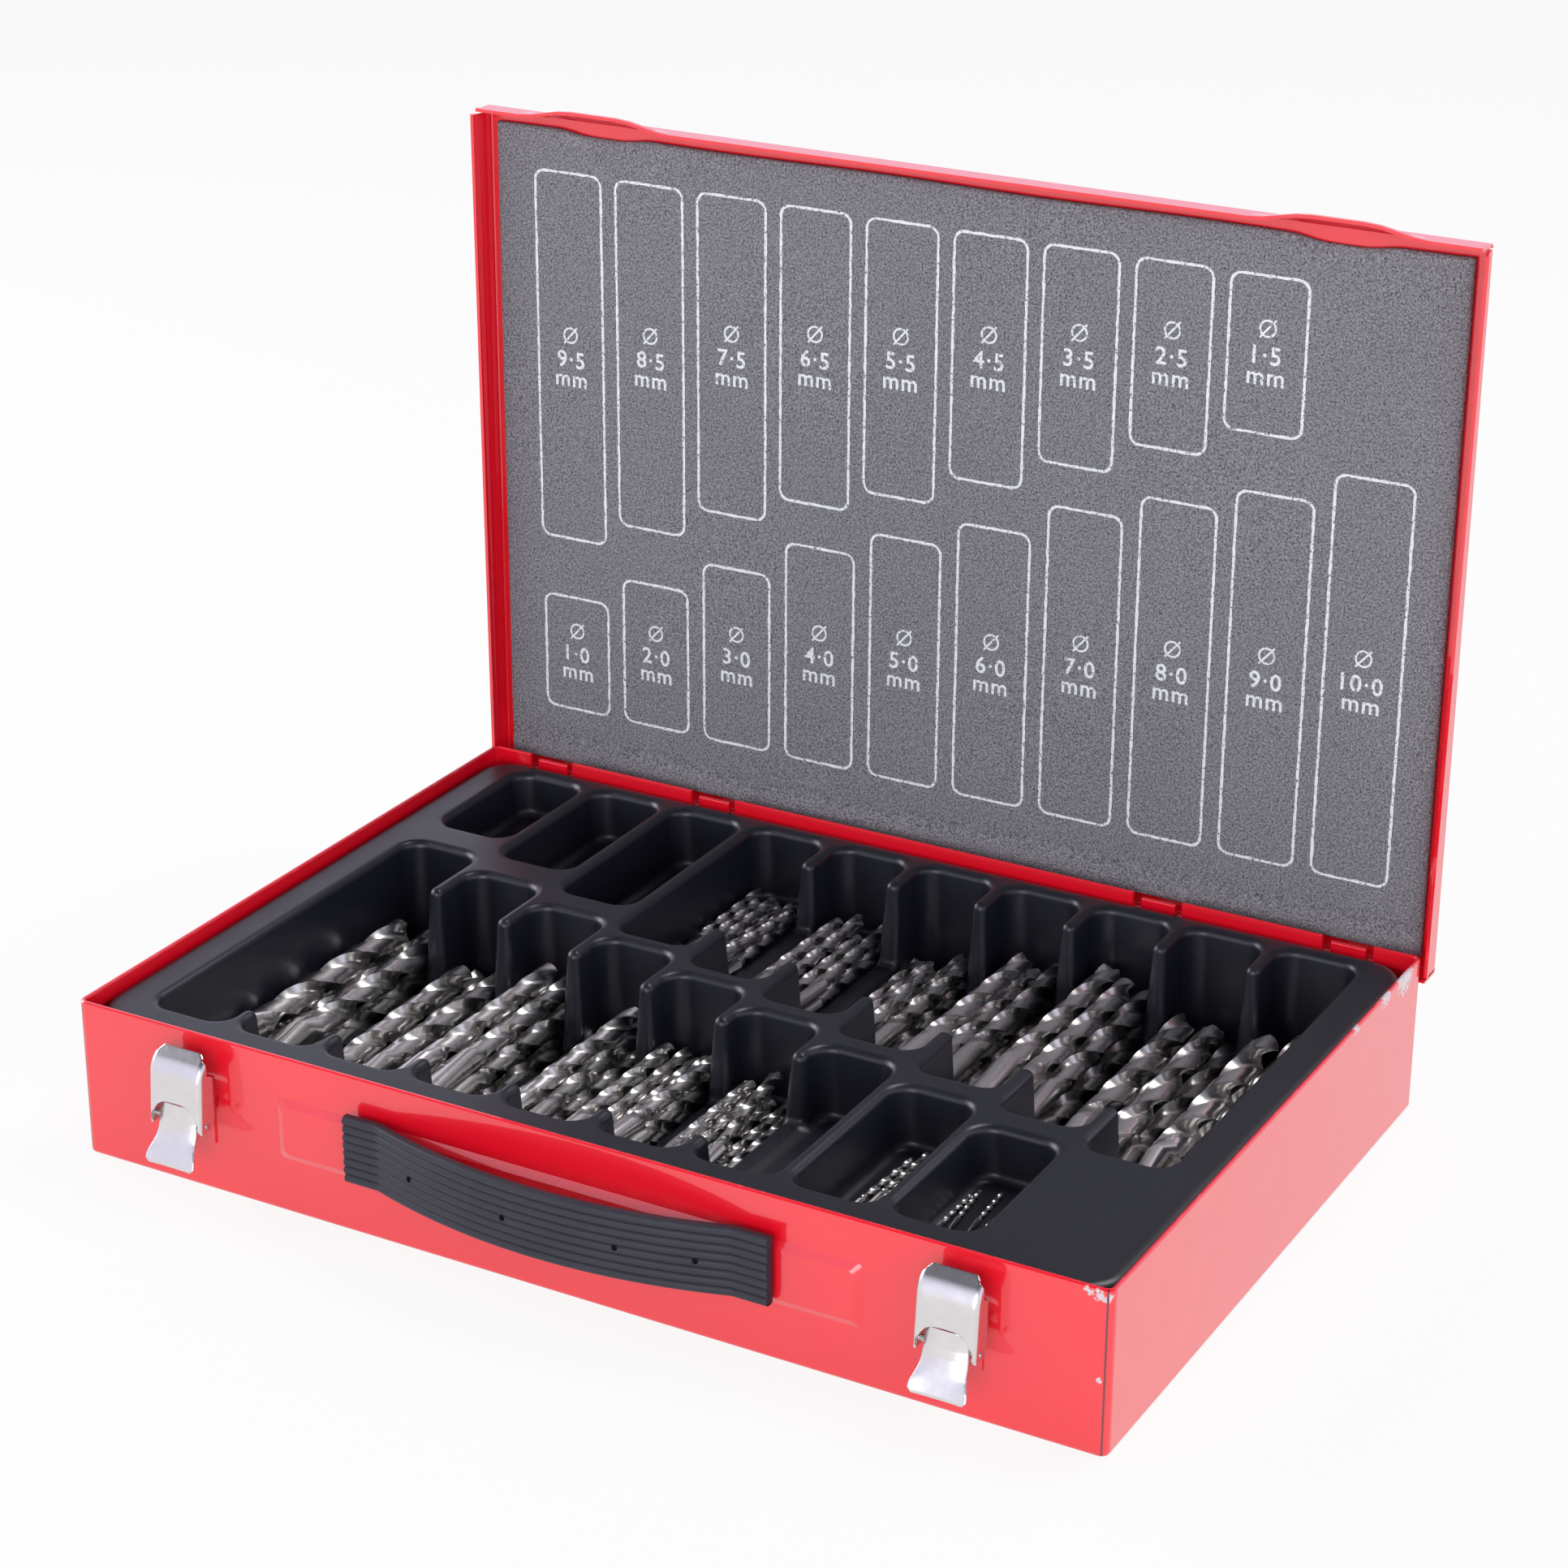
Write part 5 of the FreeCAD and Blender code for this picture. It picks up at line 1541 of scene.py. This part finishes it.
# ---------------------------------------------------------------- the lid's foam and its print
@dataclass
class LidFoam:
    """Foam sheet in the lid with its printed outlines and sizes, drawn where the open lid stands."""

    palette: Palette
    half_x: float = 181.6
    low: float = 51.7
    high: float = 293.8
    face_y: float = 130.55
    back_y: float = 133.6
    edge: float = 1.1
    spacing: float = 2.0
    ink_width: float = 1.0
    ink_lift: float = 0.06
    outline_width: float = 27.2
    outline_corner: float = 3.6
    bottom_x: float = -165.1
    bottom_pitch: float = 34.0
    bottom_z: float = 74.57
    top_x: float = -165.6
    top_pitch: float = 33.3
    top_z: float = 278.7
    text_height: float = 6.0
    line_gap: float = 9.0
    top_lengths: Tuple[float, ...] = (136.7, 127.4, 115.8, 106.1, 97.8, 86.8, 75.3, 63.8, 52.9)
    bottom_lengths: Tuple[float, ...] = (44.4, 55.6, 68.0, 82.0, 91.5, 101.4, 113.6, 122.6, 130.9, 142.0)
    wave: float = 0.10
    wave_x: float = 23.0
    wave_z: float = 27.0
    wave_bend: float = 0.6
    bend_x: float = 41.0
    bend_z: float = 31.0
    roll: float = 0.55
    roll_up: float = 9.0
    roll_width: float = 2.2
    roll_wander: float = 0.8
    wander_x: float = 37.0
    lip: float = 0.10
    lip_below: float = 4.5
    lip_width: float = 2.5
    dent: float = 0.9
    dent_x: float = 13.0
    dent_z: float = 4.0
    dent_below: float = 3.0
    set_back: float = 0.12
    keeper_dip: float = 1.6
    keeper_half: float = 14.0
    sag: float = 0.25
    sag_x: float = 19.0
    edge_share: float = 0.7
    edge_drop: float = 0.35
    corner_steps: int = 6
    path_spacing: float = 1.4
    ink_thin: float = 0.75
    ink_thick: float = 1.2
    ink_wander: float = 0.05
    letter_share: float = 0.70
    letter_spacing: float = 1.12
    letter_weight: float = 0.13
    mark_radii: Tuple[float, float] = (2.35, 3.1)
    mark_around: int = 24
    slash_reach: float = 4.2
    slash_half: float = 0.36
    slash_along: Tuple[float, float] = (0.66, 0.75)
    unit_rise: float = 1.0
    seed: int = 5

    def face(self, x: np.ndarray, z: np.ndarray) -> np.ndarray:
        """Height in Y of the foam's face: soft waves, and a roll pressed up near the hinge.

        Args:
            x: place of each point across.
            z: its height on the open lid.

        Returns:
            The face's Y at each point.
        """
        across = np.sin(x / self.wave_x + np.sin(z / self.bend_z))
        upward = np.sin(z / self.wave_z + self.wave_bend * np.sin(x / self.bend_x))
        waves = self.wave * across * upward
        roll_z = self.low + self.roll_up + self.roll_wander * np.sin(x / self.wander_x)
        roll = self.roll * np.exp(-((z - roll_z) / self.roll_width) ** 2)
        lip = -self.lip * np.exp(-((z - roll_z + self.lip_below) / self.lip_width) ** 2)
        dents = np.zeros_like(x)
        for side in (-1, 1):
            dents = dents + self.dent * np.exp(-((x - side * SIZES.keeper_x) / self.dent_x) ** 2
                                               - ((z - self.high + self.dent_below) / self.dent_z) ** 2)
        return self.face_y + self.set_back + waves + roll + lip + dents

    def top_edge(self, x: np.ndarray) -> np.ndarray:
        """Height of the foam's upper edge, pushed down a little under each keeper.

        Args:
            x: place of each point across.

        Returns:
            The edge's height at each point.
        """
        dip = np.zeros_like(x)
        for side in (-1, 1):
            dip = dip + self.keeper_dip * np.exp(-((x - side * SIZES.keeper_x) / self.keeper_half) ** 4)
        return self.high - dip - self.sag * (1 + np.sin(x / self.sag_x))

    def build_sheet(self) -> None:
        """The foam itself: a waved face, rounded edges and a flat back."""
        columns = int(2 * self.half_x / self.spacing)
        rows = int((self.high - self.low) / self.spacing)
        inner = self.half_x - self.edge
        shoulder = self.half_x - self.edge * (1 - self.edge_share)
        xs = np.concatenate([[-self.half_x, -shoulder], np.linspace(-inner, inner, columns),
                             [shoulder, self.half_x]])
        shares = np.linspace(0, 1, rows)
        top = self.top_edge(xs)
        verts = []
        for row in range(-2, rows + 2):
            share = shares[min(max(row, 0), rows - 1)]
            z = self.low + self.edge + share * (top - self.edge - self.low - self.edge)
            drop = np.zeros(len(xs))
            if row < 0 or row >= rows:
                shoulder_row = row in (-1, rows)
                out = self.edge * (self.edge_share if shoulder_row else 1.0)
                z = z - out if row < 0 else z + out
                drop += self.edge_drop if shoulder_row else self.edge
            for index, depth in ((0, self.edge), (1, self.edge_drop), (-2, self.edge_drop), (-1, self.edge)):
                drop[index] = max(drop[index], depth)
            verts.append(np.stack([xs, self.face(xs, z) + drop, z], axis=1))
        front = np.array(verts)
        down, across = front.shape[:2]
        count = down * across
        back = front.copy()
        back[:, :, 1] = self.back_y
        faces = grid_faces(down, across)
        faces += [f[::-1] for f in grid_faces(down, across, offset=count)]
        rim = ([(0, c) for c in range(across)] + [(r, across - 1) for r in range(1, down)]
               + [(down - 1, c) for c in range(across - 2, -1, -1)]
               + [(r, 0) for r in range(down - 2, 0, -1)])
        index = [r * across + c for r, c in rim]
        for a, b in zip(index, index[1:] + index[:1]):
            faces.append((b, a, a + count, b + count))
        piece = new_object("foam_sheet", np.concatenate([front.reshape(-1, 3), back.reshape(-1, 3)]), faces)
        place(piece, "lid", self.palette.foam, ("lid_foam",))

    def outlines(self) -> List[Tuple[float, float, float, float, float]]:
        """Work out every outline.

        Returns:
            Left, right, low and high side of each, and the drill size it stands for.
        """
        found = []
        for i, (size, length) in enumerate(zip(SIZES.front_row, self.top_lengths)):
            x = self.top_x + self.top_pitch * i
            found.append((x, x + self.outline_width, self.top_z - length, self.top_z, size))
        for i, (size, length) in enumerate(zip(SIZES.back_row, self.bottom_lengths)):
            x = self.bottom_x + self.bottom_pitch * i
            found.append((x, x + self.outline_width, self.bottom_z, self.bottom_z + length, size))
        return found

    def outline_path(self, left: float, right: float, low: float, high: float) -> np.ndarray:
        """Points close together round a rectangle with rounded corners.

        Args:
            left: its left side.
            right: its right side.
            low: its low side.
            high: its high side.

        Returns:
            The points, as (x, z) rows.
        """
        r = self.outline_corner
        points = []
        for cx, cz, start in ((right - r, low + r, -90), (right - r, high - r, 0), (left + r, high - r, 90),
                              (left + r, low + r, 180)):
            for step in range(self.corner_steps):
                angle = math.radians(start + 90 * step / (self.corner_steps - 1))
                points.append((cx + r * math.cos(angle), cz + r * math.sin(angle)))
        closed = np.array(points + points[:1])
        dense = []
        for a, b in zip(closed, closed[1:]):
            pieces = max(1, int(np.linalg.norm(b - a) / self.path_spacing))
            dense += [a + (b - a) * k / pieces for k in range(pieces)]
        return np.array(dense)

    def on_face(self, flat: np.ndarray) -> np.ndarray:
        """Lay flat (x, z) points on the foam's face, lifted by the ink.

        Args:
            flat: the points.

        Returns:
            Their places on the case.
        """
        y = self.face(flat[:, 0], flat[:, 1]) - self.ink_lift
        return np.stack([flat[:, 0], y, flat[:, 1]], axis=1)

    def build_outlines(self) -> None:
        """All the printed outlines as one thin skin of ink on the foam."""
        rng = np.random.default_rng(self.seed)
        verts, faces = [], []
        count = 0
        for left, right, low, high, _ in self.outlines():
            path = self.outline_path(left, right, low, high)
            ahead = np.roll(path, -1, axis=0) - np.roll(path, 1, axis=0)
            ahead /= np.linalg.norm(ahead, axis=1)[:, None]
            side = np.stack([ahead[:, 1], -ahead[:, 0]], axis=1)
            thickness = rng.uniform(self.ink_thin, self.ink_thick, len(path))[:, None]
            half = self.ink_width / 2 * thickness
            wander = rng.normal(0, self.ink_wander, len(path))[:, None]
            for sign in (-1, 1):
                verts.append(self.on_face(path + side * (half * sign + wander)))
            n = len(path)
            for k in range(n):
                after = (k + 1) % n
                faces.append((count + after, count + k, count + n + k, count + n + after))
            count += 2 * n
        piece = new_object("printed_outlines", np.concatenate(verts), faces)
        place(piece, "lid", self.palette.ink)

    def letters(self, text: str, height: float) -> MeshParts:
        """Flat letters centred on the origin, in millimetres.

        Args:
            text: what they say.
            height: height of a capital.

        Returns:
            Their (x, z) points and faces.
        """
        curve = bpy.data.curves.new("letters", "FONT")
        curve.body = text
        curve.size = height / self.letter_share
        curve.align_x = "CENTER"
        curve.space_character = self.letter_spacing
        curve.offset = self.letter_weight
        curve.resolution_u = 3
        holder = bpy.data.objects.new("letters", curve)
        bpy.context.scene.collection.objects.link(holder)
        bpy.context.view_layer.update()
        mesh = bpy.data.meshes.new_from_object(holder)
        points = np.array([v.co[:2] for v in mesh.vertices])
        faces = [tuple(p.vertices) for p in mesh.polygons]
        bpy.data.objects.remove(holder)
        bpy.data.curves.remove(curve)
        bpy.data.meshes.remove(mesh)
        middle = (points.max(axis=0) + points.min(axis=0)) / 2
        return points - middle, faces

    def diameter_mark(self) -> MeshParts:
        """A ring with a slash through it, the sign for diameter.

        Returns:
            Its (x, z) points and faces.
        """
        n = self.mark_around
        verts = [spot for radius in self.mark_radii for spot in ring_points(radius, n)]
        faces = [(k, n + k, n + (k + 1) % n, (k + 1) % n) for k in range(n)]
        along = np.array(self.slash_along)
        across = np.array([along[1], -along[0]]) * self.slash_half
        for a, b in ((-1, -1), (-1, 1), (1, 1), (1, -1)):
            verts.append(tuple(along * self.slash_reach * a + across * b))
        faces.append((2 * n, 2 * n + 1, 2 * n + 2, 2 * n + 3))
        return np.array(verts), faces

    def build_labels(self) -> None:
        """The sizes inside the outlines: diameter sign, number and unit."""
        verts, faces = [], []
        count = 0
        unit = self.letters("mm", self.text_height)
        mark = self.diameter_mark()
        for left, right, low, high, size in self.outlines():
            middle = np.array([(left + right) / 2, (low + high) / 2])
            number = self.letters(str(size).replace(".", "·"), self.text_height)
            for (points, shapes), rise in ((mark, self.line_gap), (number, 0.0),
                                           (unit, -self.line_gap + self.unit_rise)):
                verts.append(self.on_face(points + (middle + np.array([0.0, rise]))))
                faces += [tuple(c + count for c in shape) for shape in shapes]
                count += len(points)
        piece = new_object("printed_sizes", np.concatenate(verts), faces, smooth=False)
        place(piece, "lid", self.palette.ink)

    def build(self) -> None:
        """The sheet, then its print."""
        self.build_sheet()
        self.build_outlines()
        self.build_labels()
        LOG.info("foam and print")


# ---------------------------------------------------------------- handle
@dataclass
class Grip:
    """Ribbed rubber grip bowed out from the front panel."""

    palette: Palette
    half_length: float = 76.5
    bottom: float = 21.5
    top: float = 44.7
    crest: float = 16.6
    end_face: float = 6.1
    bow_half: float = 64.0
    thickness: float = 3.4
    ridges: int = 8
    ridge_depth: float = 0.75
    blend: float = 9.0
    stations: int = 121
    hole_x: Tuple[float, ...] = (-48.5, -10.5, 28.5, 53.5)
    hole_radius: float = 1.0
    hole_around: int = 14
    hole_drop: float = 0.7
    hole_in: float = 1.9
    hole_out: float = 2.0
    ridge_points: int = 8
    ridge_bend: float = 0.55
    corner: float = 0.5
    fray: float = 0.45
    blend_samples: int = 7
    lean_share: float = 0.6
    lean_reach: float = 0.5
    sharp_from: float = 50.0
    seed: int = 3

    def stand_off(self, x: float) -> float:
        """Distance of the outer face from the wall.

        Args:
            x: place along the grip.

        Returns:
            How far the face stands off there, in millimetres.
        """
        rise = self.crest - self.end_face
        radius = (self.bow_half ** 2 + rise ** 2) / (2 * rise)
        inside = min(abs(x), self.bow_half)
        return self.crest - radius + math.sqrt(radius ** 2 - inside ** 2)

    def section(self) -> np.ndarray:
        """Outline of the grip across its length.

        Returns:
            Points as (set back from the face, height) rows.
        """
        height = self.top - self.bottom
        pitch = height / self.ridges
        face = []
        for i in range(self.ridges * self.ridge_points + 1):
            z = height * i / (self.ridges * self.ridge_points)
            dip = self.ridge_depth * (1 - abs(math.sin(math.pi * z / pitch)) ** self.ridge_bend)
            face.append((dip, z))
        back, inset = self.thickness, self.corner
        low_end = [(back, inset), (back - inset, 0.0), (self.ridge_depth + inset, 0.0)]
        high_end = [(self.ridge_depth + inset, height), (back - inset, height), (back, height - inset)]
        return np.array(low_end + face + high_end)

    def build(self) -> None:
        """Sweep the section along the bow and pierce the small holes."""
        rng = np.random.default_rng(self.seed)
        section = self.section()
        n = len(section)
        fray = rng.uniform(-self.fray, 0.0, (2, n))
        xs = np.linspace(-self.half_length, self.half_length, self.stations)
        rows = []
        for row, x in enumerate(xs):
            shifts = np.linspace(-self.blend, self.blend, self.blend_samples) / 2
            near = [self.stand_off(x + shift) for shift in shifts]
            off = min(sum(near) / len(near), self.stand_off(x))
            slope = self.stand_off(x + self.lean_reach) - self.stand_off(x - self.lean_reach)
            ragged = np.zeros(n)
            if row == 0:
                ragged = -fray[0]
            if row == self.stations - 1:
                ragged = fray[1]
            y = -SIZES.half_depth - off + section[:, 0]
            along = x + ragged + section[:, 0] * slope * self.lean_share
            rows.append(np.stack([along, y, self.bottom + section[:, 1]], axis=1))
        verts = np.concatenate(rows)
        verts[:, 0] = np.clip(verts[:, 0], -self.half_length, self.half_length)
        faces = grid_faces(self.stations, n, closed=True)
        faces.append(tuple(range(n - 1, -1, -1)))
        last = (self.stations - 1) * n
        faces.append(tuple(range(last, last + n)))
        piece = new_object("ribbed_grip", verts, faces)
        face_outward(piece)
        piece.data.set_sharp_from_angle(angle=math.radians(self.sharp_from))
        place(piece, "case", self.palette.rubber, ("handle_grip",))
        self.pierce(piece)
        LOG.info("grip")

    def pierce(self, piece: bpy.types.Object) -> None:
        """Cut the four small holes through the grip's face.

        Args:
            piece: the grip.
        """
        middle = (self.bottom + self.top) / 2 - self.hole_drop
        verts, faces = [], []
        around = self.hole_around
        for index, x in enumerate(self.hole_x):
            for y in (-self.crest - self.hole_out, -self.stand_off(x) + self.hole_in):
                verts += [(x + across, -SIZES.half_depth + y, middle + up)
                          for across, up in ring_points(self.hole_radius, around)]
            base = index * 2 * around
            faces += grid_faces(2, around, offset=base, closed=True)
            faces.append(tuple(range(base + around - 1, base - 1, -1)))
            faces.append(tuple(range(base + around, base + 2 * around)))
        cutter = new_object("hole_cutter", np.array(verts), faces, smooth=False)
        face_outward(cutter)
        modifier = piece.modifiers.new("holes", "BOOLEAN")
        modifier.operation = "DIFFERENCE"
        modifier.solver = "EXACT"
        modifier.object = cutter
        bpy.context.view_layer.update()
        graph = bpy.context.evaluated_depsgraph_get()
        finished = bpy.data.meshes.new_from_object(piece.evaluated_get(graph))
        piece.modifiers.clear()
        piece.data = finished
        bpy.data.objects.remove(cutter)


# ---------------------------------------------------------------- studio
@dataclass
class Studio:
    """Pale floor, soft lamps and the camera."""

    focal: float = 86.3
    camera_at: Point = (548.1, -969.1, 607.0)
    azimuth: float = 29.083
    elevation: float = 23.375
    roll: float = 0.26
    floor_colour: Colour = (0.83, 0.83, 0.81)
    ambient: Colour = (0.96, 0.96, 1.15)
    sky: Tuple[Tuple[float, float], ...] = ((0.0, 1.0), (0.45, 1.0), (0.66, 0.30), (0.80, 0.08), (1.0, 0.08))
    lamps: Tuple[Tuple[str, Point, Point, float, float], ...] = (
        ("key", (-1500.0, -150.0, 700.0), (0.0, 0.0, 60.0), 1100.0, 14.0),
        ("fill", (1500.0, -900.0, 700.0), (0.0, 0.0, 60.0), 1000.0, 7.0),
        ("front", (300.0, -1900.0, 420.0), (0.0, 0.0, 60.0), 1200.0, 12.0),
        ("top", (500.0, 700.0, 1700.0), (0.0, 0.0, 40.0), 1000.0, 16.0),
    )
    unmirrored: Tuple[str, ...] = ("fill",)
    sensor: float = 36.0
    nearest: float = 0.01
    floor_reach: float = 6000.0
    floor_roughness: float = 0.9
    floor_glow: float = 0.88
    floor_mirrored: float = 0.9
    ambient_strength: float = 1.1

    def build_camera(self) -> None:
        """Place the camera by its azimuth, elevation and roll."""
        az, el, ro = (math.radians(a) for a in (self.azimuth, self.elevation, self.roll))
        forward = Vector((-math.sin(az) * math.cos(el), math.cos(az) * math.cos(el), -math.sin(el)))
        right = forward.cross(Vector((0, 0, 1))).normalized()
        up = right.cross(forward)
        turned_right = math.cos(ro) * right + math.sin(ro) * up
        turned_up = -math.sin(ro) * right + math.cos(ro) * up
        data = bpy.data.cameras.new("camera")
        data.lens = self.focal
        data.sensor_width = self.sensor
        data.clip_start = self.nearest
        camera = bpy.data.objects.new("camera", data)
        basis = Matrix((turned_right, turned_up, -forward)).transposed().to_4x4()
        camera.matrix_world = Matrix.Translation(Vector(self.camera_at) * MM) @ basis
        bpy.context.scene.collection.objects.link(camera)
        bpy.context.scene.camera = camera

    def build_floor(self) -> None:
        """A wide pale floor that shows white to the camera and keeps the shadow."""
        corners = [(x * self.floor_reach, y * self.floor_reach, 0.0)
                   for x, y in ((-1, -1), (1, -1), (1, 1), (-1, 1))]
        floor = new_object("floor", np.array(corners), [(0, 1, 2, 3)], smooth=False)
        material = bpy.data.materials.new("pale_floor")
        material.use_nodes = True
        maker = NodeMaker(material.node_tree)
        nodes = material.node_tree.nodes
        shader = nodes["Principled BSDF"]
        shader.inputs["Base Color"].default_value = (*self.floor_colour, 1.0)
        shader.inputs["Roughness"].default_value = self.floor_roughness
        glow = maker.add("ShaderNodeEmission")
        glow.inputs["Color"].default_value = (1, 1, 1, 1)
        path = maker.add("ShaderNodeLightPath")
        mirrored = maker.value("MULTIPLY", path.outputs["Is Glossy Ray"], self.floor_mirrored)
        seen = maker.value("MAXIMUM", path.outputs["Is Camera Ray"], mirrored)
        share = maker.value("MULTIPLY", seen, self.floor_glow)
        blend = maker.add("ShaderNodeMixShader")
        maker.join(share, blend.inputs[0])
        maker.join(shader.outputs[0], blend.inputs[1])
        maker.join(glow.outputs[0], blend.inputs[2])
        maker.join(blend.outputs[0], nodes["Material Output"].inputs["Surface"])
        floor.data.materials.append(material)

    def build_world(self) -> None:
        """Pale surroundings, dim overhead, that show white to the camera."""
        world = bpy.data.worlds.new("surroundings")
        bpy.context.scene.world = world
        world.use_nodes = True
        maker = NodeMaker(world.node_tree)
        nodes = world.node_tree.nodes
        plain = nodes["Background"]
        spread = maker.add("ShaderNodeSeparateXYZ")
        maker.join(maker.add("ShaderNodeTexCoord").outputs["Generated"], spread.inputs[0])
        stops = [(z, tuple(level * c / self.ambient_strength for c in self.ambient)) for z, level in self.sky]
        maker.join(maker.ramp(spread.outputs["Z"], stops), plain.inputs["Color"])
        plain.inputs["Strength"].default_value = self.ambient_strength
        white = maker.add("ShaderNodeBackground")
        white.inputs["Color"].default_value = (1, 1, 1, 1)
        white.inputs["Strength"].default_value = 1.0
        path = maker.add("ShaderNodeLightPath")
        blend = maker.add("ShaderNodeMixShader")
        maker.join(path.outputs["Is Camera Ray"], blend.inputs[0])
        maker.join(plain.outputs[0], blend.inputs[1])
        maker.join(white.outputs[0], blend.inputs[2])
        maker.join(blend.outputs[0], nodes["World Output"].inputs["Surface"])

    def build_lamps(self) -> None:
        """Large soft lamps aimed at the case."""
        for name, spot, aim, size, power in self.lamps:
            data = bpy.data.lights.new(name, "AREA")
            data.shape = "DISK"
            data.size = size * MM
            data.energy = power
            lamp = bpy.data.objects.new(name, data)
            start = Vector(spot) * MM
            lamp.location = start
            lamp.rotation_euler = (Vector(aim) * MM - start).to_track_quat("-Z", "Y").to_euler()
            lamp.visible_glossy = name not in self.unmirrored
            bpy.context.scene.collection.objects.link(lamp)

    def build(self) -> None:
        """Everything that isn't the case."""
        self.build_floor()
        self.build_world()
        self.build_lamps()
        self.build_camera()
        bpy.context.scene.view_settings.view_transform = "Standard"
        LOG.info("studio")


def main() -> None:
    """Build the case piece by piece, then the studio round it."""
    logging.basicConfig(level=logging.INFO)
    palette = Palette()
    plan = TrayPlan()
    SheetMetal(palette).build()
    Latch(palette).build()
    Tray(palette, plan).build()
    Drills(palette, plan).build()
    LidFoam(palette).build()
    Grip(palette).build()
    Studio().build()


if __name__ == "__main__":
    main()
